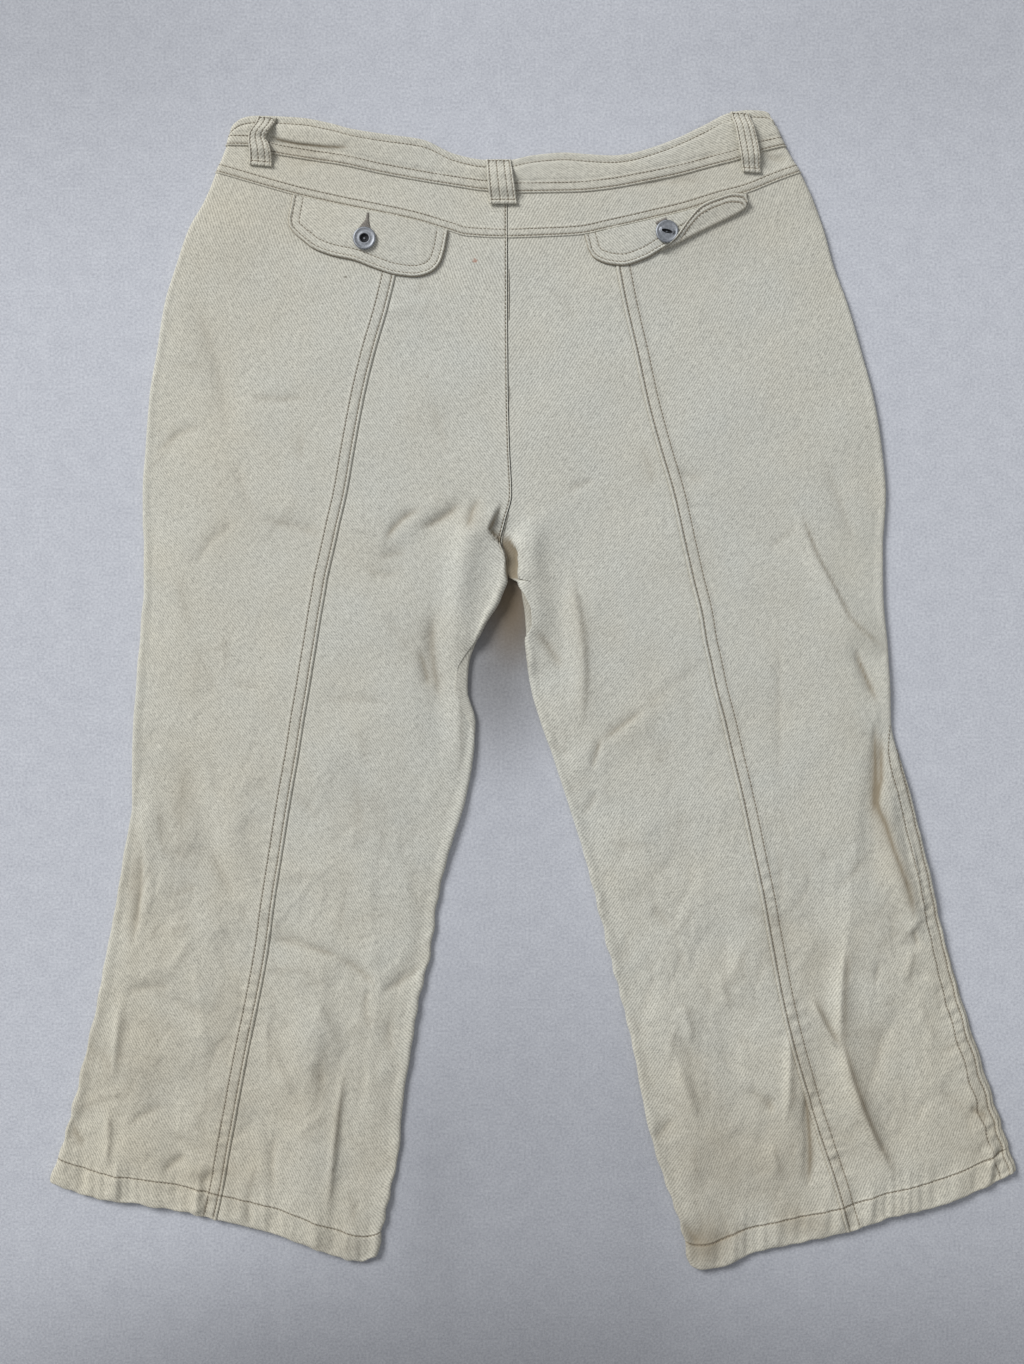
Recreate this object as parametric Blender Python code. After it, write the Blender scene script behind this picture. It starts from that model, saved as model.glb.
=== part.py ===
"""Women's capri pants of linen and cotton twill, laid flat with the back side up.

Frame: metres, +Z up, +Y towards the waist, +X towards the wearer's right side.
The origin is on the floor, under the middle of the part's box.

The garment is two flattened tubes of cloth, one to each leg, which join above the crotch.
Sizes in the tables are millimetres. A point on a tube is found from two numbers: the row v,
which runs from 0 at the waist edge to 1 at the waistband seam, 2 at the yoke seam and 3 at
the hem, and the path q, the millimetres along the cloth from the side edge towards the
middle, positive over the back layer and negative under the front layer.
"""

import bmesh
import bpy
import numpy as np

MM = 0.001

# ---- Cloth and seams ---------------------------------------------------------------------
WALL = 1.2  # one cloth wall of a leg or a yoke
BAND_WALL = 1.8  # the waistband's wall, two layers of cloth
FLAP_WALL = 1.8  # a pocket flap, two layers of cloth
LOOP_WALL = 1.6  # a belt loop, a folded strip
HALF_GAP = 0.16  # half of the 0.3 mm between two pieces at a seam
EDGE_REACH = 3.2  # how far in from a folded edge the cloth still turns over
EDGE_PATH = 4.6  # the length of cloth in that turn, from the edge to its top
EDGE_LEVEL = 2.6  # height at which the back meets the front round a folded edge
LOW_TOP = 3.4  # the back layer never sinks below this, so that it clears the front
EDGE_LOW = 1.4  # and stays this much higher still beside a folded edge
FELL_WIDTH = 9.0  # width of the felled seams
FELL_RISE = 0.5  # how much thicker the felled seams are
HEM_DEPTH = 20.0
HEM_RISE = 0.6
STEP_WIDTH = 1.5  # width of the step where a seam or a hem starts to rise
FRONT_DROP = 0.18  # share of the waistband's depth by which the front edge lies lower

# ---- Outline: one row a section, across the garment at height y --------------------------
# side: outer edge; seam: back leg seam; inner: centre-back seam, then the inseam
SECTION_COLUMNS = ("y", "side_l", "seam_l", "inner_l", "inner_r", "seam_r", "side_r")
SECTIONS = (
    (426, -226, -99, -21, -21, 45, 182),
    (407, -231, -99, -21, -21, 47, 190),
    (387, -239, -100, -21, -21, 50, 201),
    (366, -248, -101, -21, -21, 52, 211),
    (346, -259, -101, -21, -21, 55, 218),
    (320, -268, -102, -21, -21, 61, 225),
    (290, -277, -108, -21, -21, 67, 236),
    (255, -283, -118, -21, -21, 75, 246),
    (218, -289, -127, -21, -21, 83, 256),
    (180, -292, -134, -20, -20, 93, 262),
    (146, -294, -140, -18, -18, 103, 265),
    (124, -294, -145, -23, -23, 108, 264),
    (110, -293, -148, -25, -25, 111, 263),
    (97, -293, -151, -21, -21, 114, 263),
    (84, -293, -154, -16, -16, 117, 263),
    (72, -293, -156, -22, -11, 120, 263),
    (55, -295, -159, -32, -7, 124, 264),
    (36, -296, -162, -42, -6, 127, 266),
    (18, -298, -165, -48, -5, 131, 267),
    (-1, -299, -168, -49, -2, 135, 268),
    (-24, -301, -172, -43, 5, 141, 269),
    (-50, -302, -176, -45, 14, 147, 274),
    (-84, -302, -182, -51, 25, 155, 284),
    (-122, -308, -188, -63, 37, 163, 293),
    (-160, -314, -194, -72, 47, 171, 302),
    (-197, -321, -199, -77, 56, 178, 312),
    (-235, -328, -206, -86, 66, 185, 323),
    (-273, -337, -214, -92, 75, 194, 335),
    (-311, -346, -221, -98, 82, 205, 347),
    (-348, -356, -228, -101, 91, 217, 359),
    (-372, -364, -232, -106, 99, 225, 367),
    (-400, -372, -238, -112, 109, 233, 376),
    (-434, -382, -245, -119, 118, 243, 387),
)
CROTCH_Y = 84

# Seams that run across: rows of (x, y)
BAND_TOP = ((-227, 423), (-218, 430), (-209, 431), (-175, 429), (-153, 425), (-138, 420),
            (-113, 417), (-84, 414), (-59, 402), (-37, 398), (-21, 397), (1, 401), (24, 404),
            (60, 401), (81, 409), (111, 419), (148, 434), (164, 435.8), (173, 433.5), (182, 426))
BAND_SEAM = ((-231, 407), (-214, 409), (-197, 406), (-153, 398), (-71, 381), (-21, 374),
             (37, 376), (67, 380), (116, 388), (154, 398), (173, 406), (190, 407))
YOKE_SEAM = ((-239, 387), (-182, 373), (-121, 355), (-67, 344), (-21, 340), (34, 341),
             (64, 346), (107, 356), (161, 373), (201, 387))
HEM_LEFT = ((-364, -371), (-350, -380), (-324, -384), (-286, -389), (-239, -399),
            (-197, -409), (-154, -425), (-130, -431), (-118, -427))
HEM_RIGHT = ((118, -434), (127, -437), (137, -436), (165, -425), (235, -409), (264, -399),
             (308, -388), (346, -372), (364, -362))

# Heights at which those seams meet the side edge and the centre line or inseam
ROW_ENDS = {
    "left": {"side": (423, 407, 387, -371), "inner": (397, 374, 340, -427)},
    "right": {"side": (426, 407, 387, -362), "inner": (397, 374, 340, -434)},
}

# Where the front layer comes round an edge and shows on top: rows of (y, length of cloth)
NO_WRAP = ((0, 0),)
SIDE_WRAP_RIGHT = ((-80, 0), (-110, 0.6), (-129, 1.7), (-200, 3.2), (-260, 3.9), (-365, 4.4))
INSEAM_WRAP_LEFT = ((48, 0), (34, 4), (18, 10), (0, 10.5), (-20, 6), (-45, 0))
INSEAM_WRAP_RIGHT = ((84, 0), (74, 4), (62, 7.5), (48, 7), (34, 0))

# ---- Height of the back layer ------------------------------------------------------------
# rows of (y, height away from the edges, height close to an edge)
CROWN = ((436, 6.6, 6.0), (380, 6.2, 5.4), (320, 5.8, 4.8), (100, 6.2, 4.8), (-100, 6.2, 4.6),
         (-330, 5.4, 4.4), (-436, 4.8, 4.2))
CROWN_REACH = 30.0  # how far in from an edge the crown has mostly risen

# A fold is a ridge (+) or a trough (-) along a bowed line from (x1, y1) to (x2, y2). Its
# width falls off over `left` and `right` millimetres on the two sides of that line.
# rows of (x1, y1, x2, y2, bow, left, right, height)
FOLDS = (
    # under the waistband, beside the left belt loop
    (-188, 424, -120, 408, 2, 7, 6, 4.0),
    (-205, 414, -140, 406, 2, 5, 4, -2.2),
    # crotch: the valley down to the fork, and the flanks that roll over it
    (-22, 134, -17, 90, 4, 8, 8, -2.0),
    (-38, 142, -54, 30, -8, 11, 9, 5.0),
    (-1, 130, 6, 34, -4, 9, 12, 4.4),
    # creases that fan out from the crotch
    (-120, 104, -66, 142, 0, 8, 8, 2.0),
    (-92, 112, -46, 142, 0, 8, 7, -1.8),
    (-78, 62, -72, -40, 3, 7, 9, -2.2),
    (-62, 50, -60, -60, 4, 9, 8, 2.4),
    (24, 96, 34, -20, -8, 8, 8, -2.2),
    (48, 84, 46, -30, -6, 10, 10, 2.0),
    (124, 24, 20, -66, 6, 12, 14, 2.6),
    # left leg, outer side
    (-276, -40, -222, -170, 5, 13, 12, -2.2),
    (-292, -70, -300, -200, 4, 9, 9, 2.6),
    (-216, -60, -236, -210, -6, 16, 14, 1.8),
    # right leg, outer side
    (206, 106, 266, 26, -6, 10, 9, 2.8),
    (240, 40, 264, -20, 0, 8, 8, -2.0),
    (262, -36, 256, -150, -6, 9, 7, -2.4),
    (264, -48, 294, -196, -8, 7, 9, 5.0),
    (212, -150, 222, -300, 6, 13, 12, -2.4),
    (230, -200, 268, -362, -12, 9, 8, 5.0),
    (206, -290, 212, -376, 3, 8, 8, -2.0),
    # shins: broad, shallow waves down to the hems
    (-296, -250, -312, -376, 3, 14, 12, 1.6),
    (-262, -270, -268, -380, -3, 12, 12, -1.2),
    (-176, -200, -170, -400, 6, 16, 14, 1.6),
    (-138, -180, -142, -410, -6, 14, 14, -1.4),
    (96, -200, 120, -410, 6, 14, 12, 1.6),
    (140, -150, 168, -400, -6, 14, 14, -1.3),
    (318, -250, 336, -366, 3, 12, 10, 1.6),
)

# ---- Trims -------------------------------------------------------------------------------
# Belt loops: rows of (name, x and y of the top end, x and y of the bottom end, width)
LOOPS = (
    ("belt_loop_left", -201, 430, -206, 395, 17),
    ("belt_loop_centre", -26.5, 397, -22.5, 364, 20),
    ("belt_loop_right", 157, 434, 165, 390, 16),
)
LOOP_FOOT = 4.5  # length of each end that lies on the waistband
LOOP_RAMP = 5.0  # length over which the loop then rises
LOOP_LIFT = 5.2  # clear height under the loop, for a belt

# Pocket flaps: the free outline from the outer top corner round to the inner one
FLAP_LEFT_SIDES = (((-181, 372), (-184, 358)), ((-64, 345), (-67, 332)))
FLAP_LEFT_LOW = ((-184, 358), (-180, 348), (-172, 338), (-160, 330), (-121, 318), (-102, 312),
                 (-86, 312), (-73, 320), (-67, 332))
FLAP_RIGHT_SIDES = (((38, 341), (41, 332)), ((161, 373), (161, 367)))
FLAP_RIGHT_LOW = ((41, 332), (45, 326), (57, 321), (67, 320), (84, 325), (97, 331), (130, 350),
                  (161, 367))
# The corner of the right flap that is turned up: rows along its fold line of
# (x and y on the fold, x and y on the free edge, rise of the free edge)
TURN_UP = ((97, 331, 98, 333, 0.6), (105, 335.5, 106, 341, 2.6), (114, 341, 114, 350, 2.8),
           (126, 348, 126, 360, 2.2), (140, 356, 141, 370, 1.6), (152, 362, 151, 375, 1.2),
           (160, 366.4, 160, 373, 0.8))
FLAP_SEAT = 1.0  # the flap's underside above the cloth, clear of the felled seam
RIM_RISE = 0.6  # of a flap's corded edge

# Buttons: rows of (radius, height above the seat), from the back round to the front
BUTTON_PROFILE = ((0.0, 0.0), (7.6, 0.0), (8.5, 0.7), (8.5, 1.4), (7.9, 2.1), (6.9, 2.3),
                  (4.2, 1.9), (3.4, 1.3), (3.2, 0.8), (0.0, 0.8))
BUTTONS = (("button_left", -127, 340), ("button_right", 101.5, 346))
BUTTON_SIDES = 20

# ---- Cloth grids -------------------------------------------------------------------------
# Heights, on the centre line and the inseam, of the rows of the back leg panels. The left
# and the right panels share them, so that their edges run side by side.
BACK_LEVELS = (340, 329, 306, 282, 257, 232, 207, 184, 164, 148, 136, 125, 115, 105, 94, 87.5,
               84, 74, 62, 48, 34, 18, 0, -20, -45, -75, -105, -135, -165, -195, -225, -256, -288,
               -320, -352, -382)
FRONT_LEVELS = (374, 340, 296, 252, 208, 164, 125, 105, 94, 87.5, 84, 74, 62, 48, 34, 18, 0, -20, -45,
                -75, -105, -135, -165, -195, -225, -256, -288, -320, -352, -382)
OUTER_COLUMNS = 5
INNER_COLUMNS = 6
FRONT_COLUMNS = 6
YOKE_COLUMNS = 12
SHORTEST_ROW = 20.0  # depth of the yoke where it is narrowest

CLOSEST = 0.6  # least distance between two columns round an edge
STEP_Q = 0.04  # steps by which a normal is measured: millimetres along the path,
STEP_V = 0.0004  # and rows

COLOURS = {
    "linen": (0.62, 0.58, 0.47),
    "linen_trim": (0.60, 0.56, 0.45),
    "zinc": (0.30, 0.31, 0.33),
}


def column(name):
    """One column of the section table, lowest section first."""
    index = SECTION_COLUMNS.index(name)
    return np.array([row[index] for row in reversed(SECTIONS)], float)


def along(table, at):
    """A table of (place, value) rows read at other places, in straight steps between rows."""
    rows = np.array(sorted(table), float)
    return np.interp(at, rows[:, 0], rows[:, 1])


def section(name, y):
    """x of an edge or a seam at height y."""
    return np.interp(y, column("y"), column(name))


def smooth(value):
    """0 below 0, 1 above 1, and an S curve between."""
    value = np.clip(value, 0.0, 1.0)
    return value * value * (3.0 - 2.0 * value)


def joined(y):
    """1 where the two legs are one body, 0 below the crotch."""
    return smooth((y - CROTCH_Y + 1.0) / 12.0)


def fold_height(x, y):
    """Sum of the folds: each is a bell across its bowed line and fades at its two ends."""
    total = np.zeros(np.shape(x))
    for x1, y1, x2, y2, bow, left, right, height in FOLDS:
        length = np.hypot(x2 - x1, y2 - y1)
        ux, uy = (x2 - x1) / length, (y2 - y1) / length
        s = ((x - x1) * ux + (y - y1) * uy) / length
        across = (y - y1) * ux - (x - x1) * uy - 4.0 * bow * s * (1.0 - s)
        width = np.where(across > 0.0, left, right)
        fade = smooth((s + 0.12) / 0.4) * smooth((1.12 - s) / 0.4)
        total += height * fade * np.exp(-((across / width) ** 2))
    return total


def top_height(x, y):
    """Height of the back layer's outer face, away from the turn of its edges."""
    crown = along([(row[0], row[1]) for row in CROWN], y)
    near_edge = along([(row[0], row[2]) for row in CROWN], y)
    middle = 0.5 * (section("inner_l", y) + section("inner_r", y))
    side = np.where(x < middle, x - section("side_l", y), section("side_r", y) - x)
    inner = np.where(x < middle, section("inner_l", y) - x, x - section("inner_r", y))
    inner = np.abs(inner) + 200.0 * joined(y)
    edge = np.clip(np.minimum(side, inner), 0.0, None)
    crown = near_edge + (crown - near_edge) * (1.0 - np.exp(-edge / CROWN_REACH))
    lowest = LOW_TOP + EDGE_LOW * np.exp(-((edge / 8.0) ** 2))
    return np.maximum(crown + fold_height(x, y), lowest)


class Leg:
    """One half of the garment as a flattened tube, from the waist edge to the hem."""

    def __init__(self, half):
        letter = half[0]
        self.gap = -HALF_GAP if half == "left" else HALF_GAP
        self.side = "side_" + letter
        self.inner = "inner_" + letter
        self.seam = "seam_" + letter
        self.ends = ROW_ENDS[half]
        self.lines = (BAND_TOP, BAND_SEAM, YOKE_SEAM, HEM_LEFT if half == "left" else HEM_RIGHT)
        self.side_wrap = NO_WRAP if half == "left" else SIDE_WRAP_RIGHT
        self.inseam_wrap = INSEAM_WRAP_LEFT if half == "left" else INSEAM_WRAP_RIGHT

    def row_ends(self, v):
        """x and y of a row's two ends: on the side edge and on the inner edge."""
        side_y = np.interp(v, (0, 1, 2, 3), self.ends["side"])
        inner_y = np.interp(v, (0, 1, 2, 3), self.ends["inner"])
        inner_x = section(self.inner, inner_y) + self.gap
        return section(self.side, side_y), side_y, inner_x, inner_y

    def bow(self, line, t):
        """How far seam number `line` stands above the straight row between its ends."""
        side_x, side_y, inner_x, inner_y = self.row_ends(float(line))
        x = side_x + (inner_x - side_x) * t
        return along(self.lines[line], x) - (side_y + (inner_y - side_y) * t)

    def plan(self, t, v):
        """x and y at the fraction t of row v: straight between the row's ends, plus the bow
        of the seams above and below, faded along the leg."""
        side_x, side_y, inner_x, inner_y = self.row_ends(v)
        above = np.clip(np.floor(v), 0, 2)
        share = v - above
        y = side_y + (inner_y - side_y) * t
        for line in range(3):
            here = above == line
            y = y + here * ((1.0 - share) * self.bow(line, t) + share * self.bow(line + 1, t))
        return side_x + (inner_x - side_x) * t, y

    def width(self, v):
        """Straight length of row v."""
        side_x, side_y, inner_x, inner_y = self.row_ends(v)
        return np.hypot(inner_x - side_x, inner_y - side_y)

    def path_length(self, v):
        """Length of cloth from the side edge over the top to the inner edge."""
        return self.width(v) + 2.0 * (EDGE_PATH - EDGE_REACH)

    def path_of(self, distance):
        """Path from an edge to the point that lies `distance` in from it."""
        turn = np.clip(distance / EDGE_REACH, 0.0, 1.0)
        in_turn = np.arccos(1.0 - turn) * EDGE_PATH / (0.5 * np.pi)
        return np.where(distance < EDGE_REACH, in_turn, distance + EDGE_PATH - EDGE_REACH)

    def distance_of(self, path):
        """The way back from path_of."""
        angle = np.clip(path / EDGE_PATH, 0.0, 1.0) * 0.5 * np.pi
        return np.where(path < EDGE_PATH, EDGE_REACH * (1.0 - np.cos(angle)),
                        path - EDGE_PATH + EDGE_REACH)

    def seam_path(self, v):
        """Path of the back leg seam at row v."""
        t = np.full_like(v, 0.5)
        for _ in range(6):
            y = self.plan(t, v)[1]
            side_x, _, inner_x, _ = self.row_ends(v)
            t = (section(self.seam, y) - side_x) / (inner_x - side_x)
        return self.path_of(t * self.width(v))

    def wraps(self, v):
        """Cloth of the front that comes over the side edge and over the inner edge."""
        _, side_y, _, inner_y = self.row_ends(v)
        return along(self.side_wrap, side_y), along(self.inseam_wrap, inner_y)

    def surface(self, q, v):
        """Outer face at path q of row v, as an array of (x, y, z)."""
        length = self.path_length(v)
        top = (q >= 0.0) != (np.abs(q) > length)
        q = np.abs(q)
        q = np.where(q > length, 2.0 * length - q, q)
        width = self.width(v)
        from_side = np.where(q < 0.5 * length, self.distance_of(q),
                             width - self.distance_of(length - q))
        x, y = self.plan(from_side / width, v)
        above_crotch = np.clip(self.row_ends(v)[3] - CROTCH_Y, 0.0, None)
        turn = self.turn(from_side) * self.turn(np.hypot(width - from_side, above_crotch))
        z_top = EDGE_LEVEL + (top_height(x, y) - EDGE_LEVEL) * turn
        z_low = EDGE_LEVEL * (1.0 - turn)
        return np.stack([x, y, np.where(top, z_top, z_low)], axis=-1)

    @staticmethod
    def turn(distance):
        """Height share of a quarter round at a distance from its edge."""
        rest = 1.0 - np.clip(distance / EDGE_REACH, 0.0, 1.0)
        return np.sqrt(1.0 - rest * rest)

    def grid(self, q, v):
        """Points and outward normals on the grid q, v. The normal is the cross product of
        two short steps along the cloth."""
        across = self.surface(q + STEP_Q, v) - self.surface(q - STEP_Q, v)
        down = self.surface(q, v + STEP_V) - self.surface(q, v - STEP_V)
        normal = np.cross(across, down)
        normal /= np.linalg.norm(normal, axis=-1, keepdims=True)
        middle = normal[normal.shape[0] // 2, normal.shape[1] // 2]
        over_floor = 1.0 if q[q.shape[0] // 2, q.shape[1] // 2] >= 0.0 else -1.0
        if middle[2] * over_floor < 0.0:
            normal = -normal
        return self.surface(q, v), normal


def between(start, end, count):
    """`count` columns spread evenly from start to end, without the two ends."""
    share = np.arange(1, count + 1) / (count + 1)
    return start + (end - start) * share


def stack(columns, rows):
    """Columns of the same rows, side by side."""
    return np.concatenate([np.broadcast_to(part, (rows, part.shape[-1])) if part.ndim == 2
                           else part[:, None] for part in columns], axis=1)


def edge_columns(wrap):
    """Paths of the three columns that go round an edge on the back layer's side."""
    start = wrap + HALF_GAP
    fixed = (0.5 * EDGE_PATH, EDGE_PATH)
    return [start] + [np.maximum(place, start + CLOSEST * (k + 1))
                      for k, place in enumerate(fixed)]


def under_columns(wrap):
    """Paths of the columns that go round an edge on the front layer's side."""
    start = wrap - HALF_GAP
    fixed = (-0.5 * EDGE_PATH, -EDGE_PATH)
    if wrap.max() > 0.0:
        fixed = (0.5 * EDGE_PATH, 0.0) + fixed
    return [start] + [np.minimum(place, start - CLOSEST * (k + 1))
                      for k, place in enumerate(fixed)]


def leg_rows(leg, levels):
    """Rows v that cross the inner edge at the levels, with a gap at the seam above them."""
    inner_y = np.array(leg.ends["inner"], float)
    rows = np.interp(-np.array(levels, float), -inner_y, (0.0, 1.0, 2.0, 3.0))
    rows[0] += HALF_GAP / abs(inner_y[int(rows[0] + 0.5) + 1] - inner_y[int(rows[0] + 0.5)])
    return rows


def hem_rows(leg):
    """Two close rows that mark the top of the hem, and the hem's edge."""
    length = leg.ends["inner"][2] - leg.ends["inner"][3]
    turn = 3.0 - HEM_DEPTH / length
    return np.array([turn - STEP_WIDTH / length, turn, 3.0])


def wall_mesh(name, points, normals, thickness, rise=None):
    """Closed wall: the outer face is the grid raised by `rise` along its normals, the inner
    face is the grid moved in by the thickness, and a strip closes the four sides."""
    raised = points if rise is None else points + normals * rise[..., None]
    inner = points - normals * thickness
    return closed_sheet(name, raised, inner)


def closed_sheet(name, upper, lower):
    """Object from two grids of the same size, in millimetres, closed round their rim."""
    rows, columns = upper.shape[:2]
    vertices = np.concatenate([upper.reshape(-1, 3), lower.reshape(-1, 3)]) * MM
    index = np.arange(rows * columns).reshape(rows, columns)
    quads = np.stack([index[:-1, :-1], index[:-1, 1:], index[1:, 1:], index[1:, :-1]], axis=-1)
    quads = quads.reshape(-1, 4)
    other = quads[:, ::-1] + rows * columns
    rim = np.concatenate([index[0, :-1], index[:-1, -1], index[-1, :0:-1], index[:0:-1, 0]])
    after = np.roll(rim, -1)
    strip = np.stack([after, rim, rim + rows * columns, after + rows * columns], axis=-1)
    faces = np.concatenate([quads, other, strip])
    return mesh_object(name, vertices, faces)


def mesh_object(name, vertices, faces):
    """Object from points in metres and faces, turned so that its faces point out."""
    mesh = bpy.data.meshes.new(name)
    mesh.from_pydata(vertices.tolist(), [], [tuple(face) for face in faces.tolist()])
    work = bmesh.new()
    work.from_mesh(mesh)
    bmesh.ops.triangulate(work, faces=work.faces)
    if work.calc_volume(signed=True) < 0.0:
        bmesh.ops.reverse_faces(work, faces=work.faces)
    work.to_mesh(mesh)
    work.free()
    mesh.shade_smooth()
    mesh.set_sharp_from_angle(angle=np.radians(40.0))
    piece = bpy.data.objects.new(name, mesh)
    bpy.context.scene.collection.objects.link(piece)
    return piece


def give_material(piece, colour, roughness, metallic=0.0):
    """A Principled material of the piece's own."""
    material = bpy.data.materials.new(piece.name)
    material.use_nodes = True
    shader = material.node_tree.nodes["Principled BSDF"]
    shader.inputs["Base Color"].default_value = (*COLOURS[colour], 1.0)
    shader.inputs["Roughness"].default_value = roughness
    shader.inputs["Metallic"].default_value = metallic
    piece.data.materials.clear()
    piece.data.materials.append(material)


def front_paths(leg, rows):
    """Columns of the front layer: round the side edge, across the floor, round the inner
    edge. The waistband and the panels share them, so that their seam closes."""
    side_wrap, inseam_wrap = leg.wraps(rows)
    start = under_columns(side_wrap)
    end = [-leg.path_length(rows) - part for part in reversed(under_columns(inseam_wrap))]
    inside = between(start[-1][:, None], end[0][:, None], FRONT_COLUMNS)
    return stack(start + [inside] + end, len(rows))


def back_paths(leg, rows):
    """Columns of the back layer from the side edge to the centre-back seam, which the
    waistband and the yokes share."""
    start = edge_columns(np.zeros_like(rows))
    end = leg.path_length(rows) - HALF_GAP
    inside = between(start[-1][:, None], end[:, None], YOKE_COLUMNS)
    return stack(start + [inside, end], len(rows))


def outer_panel(half):
    """Back leg from the side edge to the back leg seam, raised along the felled seam."""
    leg = Leg(half)
    rows = np.append(leg_rows(leg, BACK_LEVELS), hem_rows(leg))
    seam = leg.seam_path(rows)
    start = edge_columns(leg.wraps(rows)[0])
    fell = [seam - FELL_WIDTH - STEP_WIDTH, seam - FELL_WIDTH, seam - HALF_GAP]
    inside = between(start[-1][:, None], fell[0][:, None], OUTER_COLUMNS)
    q = stack(start + [inside] + fell, len(rows))
    v = np.broadcast_to(rows[:, None], q.shape)
    points, normals = leg.grid(q, v)
    rise = np.zeros_like(q)
    rise[:, -2:] = FELL_RISE
    rise[-2:, :] = np.maximum(rise[-2:, :], HEM_RISE)
    rise[:, 0] = 0.0
    piece = wall_mesh("back_panel_outer_" + half, points, normals, WALL, rise)
    give_material(piece, "linen", 0.9)


def inner_panel(half):
    """Back leg from the back leg seam to the centre-back seam and the inseam."""
    leg = Leg(half)
    rows = np.append(leg_rows(leg, BACK_LEVELS), hem_rows(leg))
    length = leg.path_length(rows)
    start = leg.seam_path(rows) + HALF_GAP
    end = [length - part for part in reversed(edge_columns(leg.wraps(rows)[1]))]
    inside = between(start[:, None], end[0][:, None], INNER_COLUMNS)
    q = stack([start, inside] + end, len(rows))
    v = np.broadcast_to(rows[:, None], q.shape)
    points, normals = leg.grid(q, v)
    rise = np.zeros_like(q)
    rise[-2:, :] = HEM_RISE
    rise[:, -1] = 0.0
    piece = wall_mesh("back_panel_inner_" + half, points, normals, WALL, rise)
    give_material(piece, "linen", 0.9)


def front_panel(half):
    """Front leg: flat on the floor, turned up round its edges to meet the back."""
    leg = Leg(half)
    rows = np.append(leg_rows(leg, FRONT_LEVELS), 3.0)
    q = front_paths(leg, rows)
    v = np.broadcast_to(rows[:, None], q.shape)
    points, normals = leg.grid(q, v)
    piece = wall_mesh("front_panel_" + half, points, normals, WALL)
    give_material(piece, "linen", 0.9)


def yoke(half):
    """Half of the back yoke, raised along its felled lower edge."""
    leg = Leg(half)
    gap = HALF_GAP / SHORTEST_ROW
    rows = np.array([1.0 + gap, 1.35, 1.68, 1.72, 2.0 - gap])
    q = back_paths(leg, rows)
    v = np.broadcast_to(rows[:, None], q.shape)
    points, normals = leg.grid(q, v)
    rise = np.zeros_like(q)
    rise[-2:, 1:] = FELL_RISE
    piece = wall_mesh("yoke_" + half, points, normals, WALL, rise)
    give_material(piece, "linen", 0.9)


def waistband(name, first_row, paths):
    """Waistband from side to side, on the columns that `paths` gives."""
    rows = np.array([first_row, 0.5 * first_row + 0.35, 0.72, 1.0 - HALF_GAP / SHORTEST_ROW])
    halves = []
    for half in ("left", "right"):
        leg = Leg(half)
        q = paths(leg, rows)
        v = np.broadcast_to(rows[:, None], q.shape)
        halves.append(leg.grid(q, v))
    points = np.concatenate([halves[0][0], halves[1][0][:, ::-1]], axis=1)
    normals = np.concatenate([halves[0][1], halves[1][1][:, ::-1]], axis=1)
    piece = wall_mesh(name, points, normals, BAND_WALL)
    give_material(piece, "linen", 0.9)


def belt_loop(name, x_top, y_top, x_low, y_low, width):
    """Strip with two feet on the cloth and a raised middle that a belt goes through."""
    length = np.hypot(x_low - x_top, y_low - y_top)
    raised = LOOP_FOOT + LOOP_RAMP
    along_loop = np.array([0.0, LOOP_FOOT, LOOP_FOOT + 0.35 * LOOP_RAMP,
                           LOOP_FOOT + 0.65 * LOOP_RAMP, raised, 0.5 * length])
    along_loop = np.concatenate([along_loop, length - along_loop[-2::-1]])
    from_end = np.minimum(along_loop, length - along_loop)
    lift = LOOP_LIFT * smooth((from_end - LOOP_FOOT) / LOOP_RAMP)
    down = np.array([x_low - x_top, y_low - y_top]) / length
    side = np.array([-down[1], down[0]])
    across = np.linspace(-0.5, 0.5, 3) * width
    x = x_top + down[0] * along_loop[:, None] + side[0] * across
    y = y_top + down[1] * along_loop[:, None] + side[1] * across
    seat = top_height(x, y).max(axis=1) + FELL_RISE + 2.0 * HALF_GAP
    seat = np.maximum(seat, np.interp(along_loop, (0.0, length), (seat[0], seat[-1])))
    z = np.broadcast_to((seat + lift)[:, None], x.shape)
    slope = np.gradient(seat + lift, along_loop)
    normal = np.stack([-slope * down[0], -slope * down[1], np.ones_like(slope)], axis=-1)
    normal /= np.linalg.norm(normal, axis=-1, keepdims=True)
    lower = np.stack([x, y, z], axis=-1)
    upper = lower + LOOP_WALL * normal[:, None, :]
    piece = closed_sheet(name, upper, lower)
    give_material(piece, "linen_trim", 0.85)


def follow(line, share):
    """Points of a line at shares of its length, from 0 to 1."""
    line = np.array(line, float)
    place = np.append(0.0, np.cumsum(np.hypot(*np.diff(line, axis=0).T)))
    return np.stack([np.interp(share * place[-1], place, part) for part in line.T], axis=-1)


def flap_plan(sides, low, u, w):
    """Points of a flap at shares u across and w down: blended from its four edges, the top
    one along the yoke seam."""
    (start, end_left), (end, end_right) = sides
    top_x = start[0] + (end[0] - start[0]) * u
    top = np.stack([top_x, along(YOKE_SEAM, top_x) - 4.0 * HALF_GAP], axis=-1)
    bottom = follow(low, u)
    left = np.array(start) + (np.array(end_left) - np.array(start)) * w[:, None]
    right = np.array(end) + (np.array(end_right) - np.array(end)) * w[:, None]
    uu, ww = u[None, :, None], w[:, None, None]
    corners = ((1 - uu) * (1 - ww) * top[0] + uu * (1 - ww) * top[-1]
               + (1 - uu) * ww * bottom[0] + uu * ww * bottom[-1])
    return ((1 - ww) * top[None] + ww * bottom[None] + (1 - uu) * left[:, None]
            + uu * right[:, None] - corners)


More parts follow.
